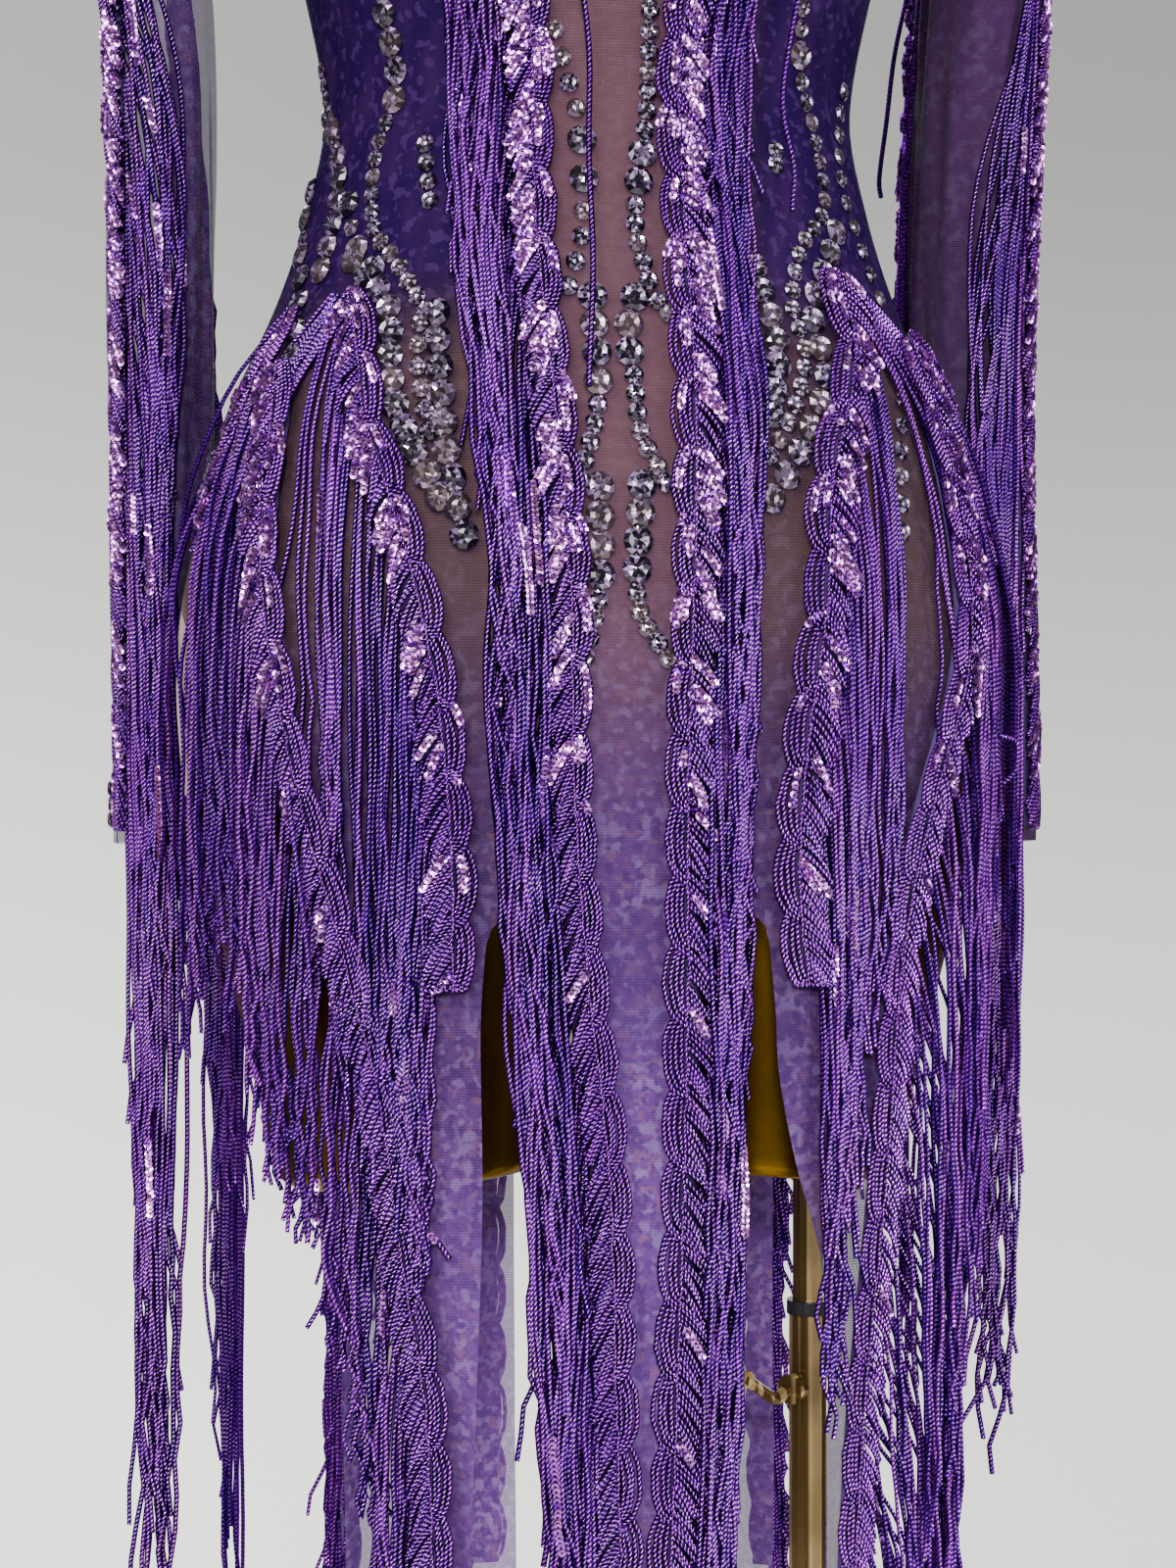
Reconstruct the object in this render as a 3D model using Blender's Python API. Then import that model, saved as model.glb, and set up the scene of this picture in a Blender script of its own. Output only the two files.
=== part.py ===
"""Latin dance dress with beaded fringe, worn by a limbless dress form on its pole stand.

Metres, +Z up, the front of the dress faces -Y and the origin is the middle of the base's underside.
A "turn" is an angle in degrees round the body from its front middle, positive toward +X.
"""
import math
from collections import namedtuple

import bmesh
import bpy
from mathutils import Vector

# ---------------------------------------------------------------- cloth and seams
CLOTH = 0.0012              # wall of every cloth panel
CLOTH_LIFT = 0.0032         # outer face of the dress over the dress form
CLOTH_RISE = 0.0030         # the same, straight up, where the shoulders slope
SEAM_GAP = 0.0006           # between the front and back panels at the sides
ROUNDNESS = 2.15            # exponent of the body's oval sections, 2 is an ellipse

BodyRing = namedtuple("BodyRing", "height half_width front back")
FORM_RINGS = (
    BodyRing(1.500, 0.0520, 0.050, 0.055),
    BodyRing(1.455, 0.0540, 0.052, 0.058),
    BodyRing(1.425, 0.0660, 0.060, 0.068),
    BodyRing(1.405, 0.0980, 0.068, 0.078),
    BodyRing(1.385, 0.1400, 0.076, 0.085),
    BodyRing(1.365, 0.1660, 0.083, 0.090),
    BodyRing(1.335, 0.1740, 0.090, 0.096),
    BodyRing(1.290, 0.1680, 0.100, 0.100),
    BodyRing(1.240, 0.1520, 0.115, 0.100),
    BodyRing(1.200, 0.1410, 0.120, 0.098),
    BodyRing(1.160, 0.1310, 0.112, 0.094),
    BodyRing(1.120, 0.1195, 0.098, 0.088),
    BodyRing(1.065, 0.1105, 0.086, 0.083),
    BodyRing(1.020, 0.1185, 0.090, 0.090),
    BodyRing(0.980, 0.1315, 0.097, 0.102),
    BodyRing(0.937, 0.1510, 0.104, 0.115),
    BodyRing(0.900, 0.1640, 0.108, 0.122),
    BodyRing(0.860, 0.1735, 0.110, 0.126),
    BodyRing(0.823, 0.1765, 0.110, 0.126),
    BodyRing(0.774, 0.1735, 0.106, 0.116),
)
HIP_HEIGHT = 0.823          # below here the dress hangs free of the form
HANG_RINGS = (
    BodyRing(0.823, 0.1797, 0.1132, 0.1292),
    BodyRing(0.774, 0.1765, 0.1127, 0.1285),
    BodyRing(0.700, 0.1680, 0.1110, 0.1240),
    BodyRing(0.600, 0.1550, 0.1090, 0.1180),
    BodyRing(0.450, 0.1450, 0.1070, 0.1120),
    BodyRing(0.300, 0.1400, 0.1060, 0.1100),
)

# ---------------------------------------------------------------- front and back panels
ARMHOLE_MIDDLE = 1.315      # height of the armhole's middle
ARMHOLE_HALF_HEIGHT = 0.070
ARMHOLE_DEPTH = 0.36        # share of a panel's half width that the armhole cuts away
SLEEVE_SIDES = 12
ARMHOLE_ROWS = tuple(ARMHOLE_MIDDLE + ARMHOLE_HALF_HEIGHT * math.cos(2 * math.pi * step / SLEEVE_SIDES)
                     for step in range(SLEEVE_SIDES // 2 + 1))
BODY_ROWS = (1.425, 1.405) + ARMHOLE_ROWS + (1.205, 1.160, 1.125, 1.095, 1.065, 1.035, 1.005, 0.975,
                                             0.940, 0.895, 0.850, 0.805, 0.760, 0.717)
KNEE_HEIGHT = 0.940         # rows below this one follow the shaped lower edge
STRIP_TOP = 0.717
SLIT_TOP = 0.7285

HemPoint = namedtuple("HemPoint", "turn bottom")
SIDE_HEM = (                # lower edge of the cloth from the side seam to the outer strips
    HemPoint(90.0, 0.868),
    HemPoint(80.0, 0.855),
    HemPoint(70.0, 0.836),
    HemPoint(60.5, 0.812),
    HemPoint(51.5, 0.785),
)
STRIP_COLUMNS = 4           # columns of points across one hanging strip
SLIT_SHARES = (1 / 3, 2 / 3)
StripRow = namedtuple("StripRow",
                      "height left_outer left_inner middle_left middle_right right_inner right_outer")
STRIP_ROWS = (              # turns of the three strips' edges
    StripRow(0.717, -42.7, -18.0, -9.2, 10.1, 17.6, 43.3),
    StripRow(0.690, -40.8, -19.1, -8.7, 10.4, 19.1, 43.2),
    StripRow(0.665, -38.9, -19.6, -7.5, 10.6, 20.3, 43.4),
    StripRow(0.625, -37.6, -20.2, -6.9, 10.5, 24.5, 44.0),
    StripRow(0.585, -36.4, -21.0, -6.5, 10.2, 30.5, 43.6),
    StripRow(0.550, -34.0, -21.8, -6.2, 10.1, 32.6, 43.2),
    StripRow(0.510, -33.2, -22.8, -5.9, 9.9, 33.0, 42.4),
    StripRow(0.470, -33.2, -23.7, -5.5, 9.3, 33.3, 42.2),
    StripRow(0.400, -33.0, -25.0, -5.3, 9.0, 33.5, 41.5),
)
STRIPS = (("left_outer", "left_inner"), ("middle_left", "middle_right"), ("right_inner", "right_outer"))
BackStripRow = namedtuple("BackStripRow", "height left_outer left_inner right_inner right_outer")
BACK_STRIP_ROWS = (         # the back has two strips, open at its middle
    BackStripRow(0.717, -36.1, -5.0, 5.0, 36.1),
    BackStripRow(0.690, -37.1, -5.2, 5.2, 37.1),
    BackStripRow(0.665, -37.9, -5.4, 5.4, 37.9),
    BackStripRow(0.625, -39.6, -5.5, 5.5, 39.6),
    BackStripRow(0.585, -41.1, -5.6, 5.6, 41.1),
    BackStripRow(0.550, -41.9, -5.7, 5.7, 41.9),
    BackStripRow(0.510, -42.8, -5.8, 5.8, 42.8),
    BackStripRow(0.470, -44.0, -6.0, 6.0, 44.0),
    BackStripRow(0.400, -45.0, -6.2, 6.2, 45.0),
)
BACK_STRIPS = (("left_outer", "left_inner"), ("right_inner", "right_outer"))

# ---------------------------------------------------------------- sleeves
SLEEVE_FOLDS = 3
FOLD_DEPTH = 0.07           # depth of a soft fold as a share of the sleeve's half size
FOLD_TWIST = 40             # degrees that the folds turn round the sleeve on their way down
FOLD_START = 4              # folds grow from this row of the table down
ARMHOLE_EASE = 0.0008       # the sleeve's top edge lies this far inside the armhole
ARMHOLE_LIFT = 0.0006
SleeveRow = namedtuple("SleeveRow", "inner_x inner_z outer_x outer_z middle_y half_depth")
LEFT_SLEEVE = (             # the sleeve at -X, written with x positive outward
    SleeveRow(0.1625, 1.236, 0.1840, 1.368, 0.006, 0.052),
    SleeveRow(0.1645, 1.222, 0.2010, 1.336, 0.012, 0.049),
    SleeveRow(0.1650, 1.205, 0.2110, 1.292, 0.020, 0.045),
    SleeveRow(0.1640, 1.180, 0.2140, 1.240, 0.028, 0.042),
    SleeveRow(0.1620, 1.150, 0.2130, 1.185, 0.036, 0.039),
    SleeveRow(0.1600, 1.110, 0.2100, 1.125, 0.045, 0.037),
    SleeveRow(0.1590, 1.050, 0.2080, 1.055, 0.055, 0.036),
    SleeveRow(0.1590, 0.990, 0.2075, 0.992, 0.064, 0.036),
    SleeveRow(0.1600, 0.930, 0.2070, 0.930, 0.073, 0.036),
    SleeveRow(0.1620, 0.870, 0.2065, 0.870, 0.080, 0.036),
    SleeveRow(0.1620, 0.810, 0.2060, 0.810, 0.082, 0.035),
    SleeveRow(0.1600, 0.753, 0.2060, 0.753, 0.082, 0.034),
)
RIGHT_SLEEVE = (
    SleeveRow(0.1625, 1.236, 0.1840, 1.368, 0.006, 0.052),
    SleeveRow(0.1645, 1.222, 0.2020, 1.336, 0.012, 0.049),
    SleeveRow(0.1650, 1.205, 0.2120, 1.292, 0.020, 0.045),
    SleeveRow(0.1640, 1.180, 0.2150, 1.240, 0.028, 0.042),
    SleeveRow(0.1630, 1.150, 0.2165, 1.185, 0.036, 0.038),
    SleeveRow(0.1620, 1.110, 0.2180, 1.125, 0.045, 0.034),
    SleeveRow(0.1615, 1.050, 0.2185, 1.055, 0.055, 0.031),
    SleeveRow(0.1630, 0.990, 0.2195, 0.992, 0.064, 0.029),
    SleeveRow(0.1660, 0.930, 0.2220, 0.930, 0.072, 0.028),
    SleeveRow(0.1680, 0.870, 0.2260, 0.870, 0.079, 0.028),
    SleeveRow(0.1690, 0.810, 0.2280, 0.810, 0.080, 0.028),
    SleeveRow(0.1690, 0.753, 0.2285, 0.753, 0.080, 0.028),
)

# ---------------------------------------------------------------- dress form and stand
FORM_SIDES = 24
FORM_NECK_ROWS = (1.500, 1.455)
FORM_BOTTOM = 0.774
ThighRing = namedtuple("ThighRing", "height middle_x half_width front back")
THIGH_RINGS = (
    ThighRing(0.7736, 0.0865, 0.0845, 0.083, 0.091),
    ThighRing(0.7450, 0.0840, 0.0815, 0.082, 0.089),
    ThighRing(0.7000, 0.0805, 0.0740, 0.078, 0.085),
    ThighRing(0.6600, 0.0775, 0.0665, 0.074, 0.080),
    ThighRing(0.6170, 0.0735, 0.0600, 0.069, 0.074),
)
THIGH_CUT_SLOPE = 0.09      # the cut rises toward the inner side
POLE_X = 0.098
POLE_TOP = 0.6138
UPPER_TUBE_RADIUS = 0.0067
LOWER_TUBE_RADIUS = 0.0084
LOWER_TUBE_BORE = 0.0071
LOWER_TUBE_TOP = 0.547
TELESCOPE_OVERLAP = 0.060
GRIP_RING_RADIUS = 0.0094
GRIP_RING_HEIGHT = 0.006
TUBE_SIDES = 16
CLAMP_HEIGHT = 0.516
BOSS_RADIUS = 0.0065
BOSS_LENGTH = 0.0060
HANDLE_RADIUS = 0.0028
HandlePoint = namedtuple("HandlePoint", "x y z thickness")
HANDLE_ROUTE = (            # from the boss, out of the tube, round the elbow and up to the knob
    HandlePoint(-0.0122, -0.0109, 0.0000, 1.0), HandlePoint(-0.0160, -0.0146, -0.0018, 1.0),
    HandlePoint(-0.0184, -0.0166, -0.0022, 1.0), HandlePoint(-0.0208, -0.0180, -0.0010, 1.0),
    HandlePoint(-0.0300, -0.0200, 0.0062, 0.9),
    HandlePoint(-0.0306, -0.0201, 0.0067, 1.3), HandlePoint(-0.0326, -0.0205, 0.0084, 1.4),
    HandlePoint(-0.0338, -0.0207, 0.0095, 0.9),
)
BOSS_DIRECTION = Vector((-0.742, -0.670, 0.0))
BASE_RADIUS = 0.190
BASE_THICKNESS = 0.008
BASE_SIDES = 40
SOCKET_RADIUS = 0.016
SOCKET_HEIGHT = 0.022
FIT_GAP = 0.0003

# ---------------------------------------------------------------- fringe
BACKING_WIDTH = 0.012
BACKING_THICKNESS = 0.0016
BACKING_LIFT = 0.0008       # gap between a backing and the cloth that carries it
MIN_BEND = 0.005            # nearest that a bend of the backing comes to a root
ROOT_HEIGHT = 0.012         # stretch of backing that one lock grows from
LOCK_FLATNESS = 0.6         # a lock's thickness as a share of its width
TIP_SHARE = 0.55            # a lock's size at its tip as a share of its full size
SHOULDER_DROP = 0.009
SHOULDER_SHARE = 0.68       # how far toward its nearest lane a lock is at its shoulder
SHOULDER_LIFT = BACKING_LIFT + BACKING_THICKNESS + 0.0007
LANE_DROP = 0.038           # a lock reaches its own lane this far below its root
LOW_LIFT = 0.0018           # it runs there under the locks from higher up
RAISE_DROP = 0.060          # and is clear of the next root from here down
HIGH_LIFT = 0.0090
LOW_SAG = 0.0007            # a lock that bends more than this over its way to the lane,
HIGH_SAG = 0.0012           # or more than this from there down, has more rings
MAX_FALL_STRETCHES = 4
LOCK_WIDTH = 0.0044
FIRST_LANE = 0.0112         # from the backing's middle to the nearest lane's
SLEEVE_FIRST_LANE = 0.0134
LANE_PITCH = 0.0062         # between the middles of two locks that hang side by side
LANE_STEP = 0.0004
TURN_STEP = 0.5             # degrees used to measure lengths round a surface
FALL_STEP = 0.020           # a falling strand is followed in drops of this size
PUSH_ROUNDS = 3

FRINGE_END = 0.300          # no lock hangs lower
LEFT_LENGTHS = (0.280, 0.280, 0.280, 0.340)         # of the sleeves' first locks
RIGHT_LENGTHS = (0.280, 0.280, 0.280, 0.300)
EDGE_LEFT_LENGTHS = (0.230, 0.210, 0.190, 0.170, 0.155, 0.140, 0.130, 0.140, 0.170)

RoutePoint = namedtuple("RoutePoint", "height turn")
Fringe = namedtuple("Fringe", "name carrier outward route pitch length first_lengths "
                              "first_lane lock_width")
Lock = namedtuple("Lock", "turn root end")
CENTRE_LEFT = (
    RoutePoint(1.330, -27.0), RoutePoint(1.240, -24.0), RoutePoint(1.160, -21.5),
    RoutePoint(1.090, -18.6), RoutePoint(1.013, -16.3), RoutePoint(0.933, -10.8),
    RoutePoint(0.856, -7.7), RoutePoint(0.780, -7.4), RoutePoint(0.704, -6.0),
    RoutePoint(0.627, -3.6), RoutePoint(0.550, -2.9), RoutePoint(0.410, -1.8),
)
CENTRE_RIGHT = (
    RoutePoint(1.330, 25.0), RoutePoint(1.240, 22.0), RoutePoint(1.160, 17.0),
    RoutePoint(1.093, 11.8), RoutePoint(1.014, 10.2), RoutePoint(0.934, 8.7),
    RoutePoint(0.857, 7.2), RoutePoint(0.780, 6.5), RoutePoint(0.703, 6.9),
    RoutePoint(0.626, 7.0), RoutePoint(0.549, 6.5), RoutePoint(0.410, 5.3),
)
HIP_LEFT = (
    RoutePoint(0.978, -50.6), RoutePoint(0.955, -44.1), RoutePoint(0.926, -39.1),
    RoutePoint(0.895, -32.7), RoutePoint(0.856, -27.2), RoutePoint(0.818, -24.2),
    RoutePoint(0.780, -23.1), RoutePoint(0.742, -22.8), RoutePoint(0.700, -23.6),
)
HIP_RIGHT = (
    RoutePoint(0.990, 41.5), RoutePoint(0.960, 39.8), RoutePoint(0.926, 32.5),
    RoutePoint(0.897, 27.7), RoutePoint(0.858, 25.5), RoutePoint(0.819, 23.3),
    RoutePoint(0.780, 21.9), RoutePoint(0.741, 21.9), RoutePoint(0.700, 24.2),
)
EDGE_LEFT = (
    RoutePoint(0.974, -65.5), RoutePoint(0.950, -60.2), RoutePoint(0.925, -56.1),
    RoutePoint(0.897, -54.2), RoutePoint(0.850, -49.9), RoutePoint(0.819, -47.5),
    RoutePoint(0.788, -45.3), RoutePoint(0.757, -42.7), RoutePoint(0.726, -40.0),
    RoutePoint(0.699, -38.0), RoutePoint(0.669, -35.6), RoutePoint(0.626, -34.2),
    RoutePoint(0.588, -33.0), RoutePoint(0.550, -30.8), RoutePoint(0.511, -30.0),
    RoutePoint(0.410, -30.0),
)
EDGE_RIGHT = (
    RoutePoint(0.966, 57.0), RoutePoint(0.944, 56.6), RoutePoint(0.911, 55.4),
    RoutePoint(0.878, 53.9), RoutePoint(0.845, 52.6), RoutePoint(0.812, 49.4),
    RoutePoint(0.780, 44.8), RoutePoint(0.748, 41.7), RoutePoint(0.716, 40.0),
    RoutePoint(0.680, 39.8), RoutePoint(0.640, 40.4), RoutePoint(0.600, 40.2),
    RoutePoint(0.561, 39.2), RoutePoint(0.521, 38.2), RoutePoint(0.410, 37.2),
)
SIDE_LEFT = (
    RoutePoint(0.985, -76.0), RoutePoint(0.950, -75.5), RoutePoint(0.915, -75.5),
    RoutePoint(0.875, -76.0),
)
BACK_CENTRE = (
    RoutePoint(1.330, 24.0), RoutePoint(1.160, 18.0), RoutePoint(1.060, 14.0),
    RoutePoint(0.934, 11.0), RoutePoint(0.780, 9.6), RoutePoint(0.640, 10.2),
    RoutePoint(0.410, 11.6),
)
BACK_HIP = (
    RoutePoint(0.975, 48.0), RoutePoint(0.926, 39.0), RoutePoint(0.870, 32.0),
    RoutePoint(0.800, 26.5), RoutePoint(0.730, 24.5),
)
BACK_EDGE = (
    RoutePoint(0.800, 42.0), RoutePoint(0.757, 38.0), RoutePoint(0.717, 34.6),
    RoutePoint(0.669, 34.6), RoutePoint(0.600, 36.8), RoutePoint(0.540, 38.2),
    RoutePoint(0.410, 41.2),
)
SLEEVE_FRONT = (RoutePoint(1.165, 45.0), RoutePoint(0.760, 45.0))
SLEEVE_BACK = (RoutePoint(1.165, 135.0), RoutePoint(0.760, 135.0))


def smooth_value(rows, field, height):
    """A named column of a table at a height, on a smooth curve through its rows."""
    points = sorted((row.height, getattr(row, field)) for row in rows)
    if height <= points[0][0]:
        return points[0][1]
    if height >= points[-1][0]:
        return points[-1][1]
    low = max(i for i in range(len(points) - 1) if points[i][0] <= height)

    def slope(i):
        before, after = points[max(i - 1, 0)], points[min(i + 1, len(points) - 1)]
        return (after[1] - before[1]) / (after[0] - before[0])

    span = points[low + 1][0] - points[low][0]
    u = (height - points[low][0]) / span
    start, end = points[low][1], points[low + 1][1]
    return (start * (2 * u**3 - 3 * u**2 + 1) + end * (3 * u**2 - 2 * u**3)
            + span * slope(low) * (u**3 - 2 * u**2 + u) + span * slope(low + 1) * (u**3 - u**2))


# ---------------------------------------------------------------- materials and objects
def make_material(name, colour, roughness, metallic=0.0):
    """A plain Principled material."""
    material = bpy.data.materials.new(name)
    material.use_nodes = True
    shader = material.node_tree.nodes["Principled BSDF"]
    shader.inputs["Base Color"].default_value = (*colour, 1.0)
    shader.inputs["Roughness"].default_value = roughness
    shader.inputs["Metallic"].default_value = metallic
    return material


def add_object(name, points, faces, material):
    """A mesh object from points and faces, in world place, cut into flat triangles."""
    shape = bmesh.new()
    corners = [shape.verts.new(point) for point in points]
    for face in faces:
        shape.faces.new([corners[index] for index in face])
    bmesh.ops.triangulate(shape, faces=shape.faces, quad_method="SHORT_EDGE")
    mesh = bpy.data.meshes.new(name)
    shape.to_mesh(mesh)
    shape.free()
    mesh.materials.append(material)
    item = bpy.data.objects.new(name, mesh)
    bpy.context.scene.collection.objects.link(item)
    return item


def loft(name, rings, material):
    """A closed solid through rings of points, each ring counterclockwise from the side it starts at."""
    sides = len(rings[0])
    points = [point for ring in rings for point in ring]
    faces = [tuple(reversed(range(sides)))]
    for level in range(len(rings) - 1):
        for side in range(sides):
            following = (side + 1) % sides
            low, high = level * sides, (level + 1) * sides
            faces.append((low + side, low + following, high + following, high + side))
    faces.append(tuple(range((len(rings) - 1) * sides, len(rings) * sides)))
    return add_object(name, points, faces, material)


def turned(name, profile, middle_x, sides, material):
    """A solid turned round an upright axis from (radius, height) pairs, lowest first."""
    rings = []
    for radius, height in profile:
        angles = [2 * math.pi * side / sides for side in range(sides)]
        rings.append([Vector((middle_x + radius * math.cos(a), radius * math.sin(a), height))
                      for a in angles])
    return loft(name, rings, material)


def hollow_tube(name, outer, bore, low, high, middle_x, material):
    """A tube with an open bore along an upright axis."""
    profile = ((outer, low), (outer, high), (bore, high), (bore, low))
    points, faces = [], []
    for side in range(TUBE_SIDES):
        angle = 2 * math.pi * side / TUBE_SIDES
        for radius, height in profile:
            points.append(Vector((middle_x + radius * math.cos(angle), radius * math.sin(angle), height)))
    for side in range(TUBE_SIDES):
        here, there = 4 * side, 4 * ((side + 1) % TUBE_SIDES)
        for edge in range(4):
            following = (edge + 1) % 4
            faces.append((here + edge, there + edge, there + following, here + following))
    return add_object(name, points, faces, material)


# ---------------------------------------------------------------- dress form and stand
def oval_point(turn, half_width, front, back, height, middle_x=0.0):
    """A point of the rounded oval section that every body ring has."""
    across, ahead = math.sin(math.radians(turn)), math.cos(math.radians(turn))
    depth = front if ahead > 0 else back
    power = 2 / ROUNDNESS
    return Vector((middle_x + half_width * math.copysign(abs(across) ** power, across),
                   -depth * math.copysign(abs(ahead) ** power, ahead), height))


def form_ring(half_width, front, back, height, middle_x=0.0):
    turns = [360 * side / FORM_SIDES for side in range(FORM_SIDES)]
    return [oval_point(turn, half_width, front, back, height, middle_x) for turn in turns]


def build_dress_form(cover, shell):
    """The covered torso and the two bare thigh ends below it."""
    heights = FORM_NECK_ROWS + tuple(row for row in BODY_ROWS if row > FORM_BOTTOM) + (FORM_BOTTOM,)
    rings = [form_ring(*form_size(height), height) for height in reversed(heights)]
    loft("form_torso", rings, cover)
    for name, side in (("form_thigh_left", -1), ("form_thigh_right", 1)):
        rings = [form_ring(ring.half_width, ring.front, ring.back, ring.height, side * ring.middle_x)
                 for ring in reversed(THIGH_RINGS)]
        for point in rings[0]:
            point.z -= (abs(point.x) - THIGH_RINGS[-1].middle_x) * THIGH_CUT_SLOPE
        loft(name, rings, shell)


def build_stand(brass, rubber, base_metal):
    """Round base, telescoping pole with its grip ring, and the clamp with its bent lever."""
    turned("base_plate", ((BASE_RADIUS - 0.002, 0.0), (BASE_RADIUS, 0.002),
                          (BASE_RADIUS, BASE_THICKNESS - 0.003),
                          (BASE_RADIUS - 0.003, BASE_THICKNESS)), 0.0, BASE_SIDES, base_metal)
    socket_low = BASE_THICKNESS + FIT_GAP
    hollow_tube("pole_socket", SOCKET_RADIUS, LOWER_TUBE_RADIUS + FIT_GAP, socket_low,
                socket_low + SOCKET_HEIGHT, POLE_X, brass)
    hollow_tube("pole_lower_tube", LOWER_TUBE_RADIUS, LOWER_TUBE_BORE, socket_low, LOWER_TUBE_TOP,
                POLE_X, brass)
    turned("pole_upper_tube", ((UPPER_TUBE_RADIUS, LOWER_TUBE_TOP - TELESCOPE_OVERLAP),
                               (UPPER_TUBE_RADIUS, POLE_TOP)), POLE_X, TUBE_SIDES, brass)
    ring_low = LOWER_TUBE_TOP + FIT_GAP
    hollow_tube("pole_grip_ring", GRIP_RING_RADIUS, UPPER_TUBE_RADIUS + FIT_GAP, ring_low,
                ring_low + GRIP_RING_HEIGHT, POLE_X, rubber)
    build_clamp(brass)


def build_clamp(brass):
    """The boss on the lower tube, and the screw with its lever as one bent rod."""
    seat = Vector((POLE_X, 0.0, CLAMP_HEIGHT))
    sideways = BOSS_DIRECTION.cross(Vector((0, 0, 1))).normalized()
    rings = []
    for distance in (LOWER_TUBE_RADIUS + FIT_GAP, LOWER_TUBE_RADIUS + BOSS_LENGTH):
        middle = seat + BOSS_DIRECTION * distance
        angles = [2 * math.pi * side / TUBE_SIDES for side in range(TUBE_SIDES)]
        rings.append([middle + BOSS_RADIUS * (math.cos(a) * sideways - math.sin(a) * Vector((0, 0, 1)))
                      for a in angles])
    loft("clamp_boss", rings, brass)
    curve = bpy.data.curves.new("clamp_handle", "CURVE")
    curve.dimensions = "3D"
    curve.bevel_depth = HANDLE_RADIUS
    curve.bevel_resolution = 2
    curve.use_fill_caps = True
    spline = curve.splines.new("POLY")
    spline.points.add(len(HANDLE_ROUTE) - 1)
    for point, step in zip(spline.points, HANDLE_ROUTE):
        point.co = (*(seat + Vector(step[:3])), 1.0)
        point.radius = step.thickness
    curve.materials.append(brass)
    bpy.context.scene.collection.objects.link(bpy.data.objects.new("clamp_handle", curve))


# ---------------------------------------------------------------- the dress's surfaces
SIZE_FIELDS = ("half_width", "front", "back")


def form_size(height):
    """Half width, front and back of the dress form at a height."""
    return [smooth_value(FORM_RINGS, field, height) for field in SIZE_FIELDS]


def row_size(height):
    """Half width, front and back of the dress's outer face at one of its rows."""
    if height < HIP_HEIGHT:
        return [smooth_value(HANG_RINGS, field, height) for field in SIZE_FIELDS]
    return [max(pair) + CLOTH_LIFT for pair in zip(form_size(height), form_size(height - CLOTH_RISE))]


DRESS_ROWS = sorted(BODY_ROWS + tuple(row.height for row in STRIP_ROWS[1:]))
DRESS_SIZES = [row_size(height) for height in DRESS_ROWS]


def body_size(height):
    """Half width, front and back of the dress's outer face: straight from each row to the next."""
    height = min(max(height, DRESS_ROWS[0]), DRESS_ROWS[-1])
    low = max(i for i in range(len(DRESS_ROWS) - 1) if DRESS_ROWS[i] <= height)
    share = (height - DRESS_ROWS[low]) / (DRESS_ROWS[low + 1] - DRESS_ROWS[low])
    return [start + (end - start) * share for start, end in zip(DRESS_SIZES[low], DRESS_SIZES[low + 1])]


class BodySurface:
    """The outer face of the front (facing 1) or back (facing -1) panel.

    On the back a turn is counted from the back's middle, so both panels use the same tables.
    """

    def __init__(self, facing):
        self.facing = facing
        self.row_heights = DRESS_ROWS

    def point(self, turn, height):
        """A point on the outer face."""
        half_width, front, back = body_size(height)
        return oval_point(turn if self.facing > 0 else 180 - turn, half_width, front, back, height)

    def outward(self, point):
        """The level direction away from the body at a point."""
        gradient, _ = self.level_set(point)
        return gradient.normalized()

    def level_set(self, point):
        """Gradient and value of the body's oval at a point: the value is 1 on the face."""
        half_width, front, back = body_size(point.z)
        depth = front if point.y < 0 else back
        across, ahead = abs(point.x) / half_width, abs(point.y) / depth
        gradient = Vector((math.copysign(across ** (ROUNDNESS - 1) / half_width, point.x),
                           math.copysign(ahead ** (ROUNDNESS - 1) / depth, point.y), 0)) * ROUNDNESS
        return gradient, across**ROUNDNESS + ahead**ROUNDNESS

    def strand(self, turn, root, height, lift):
        """Where a strand from a root is at a height: it falls, and the body pushes it outward."""
        point = self.point(turn, root)
        steps = max(1, math.ceil((root - height) / FALL_STEP))
        for step in range(1, steps + 1):
            point.z = root + (height - root) * step / steps
            for _ in range(PUSH_ROUNDS):
                gradient, value = self.level_set(point)
                if value < 1:
                    point += gradient * ((1 - value) / gradient.length_squared)
        return point + self.outward(point) * lift


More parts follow.
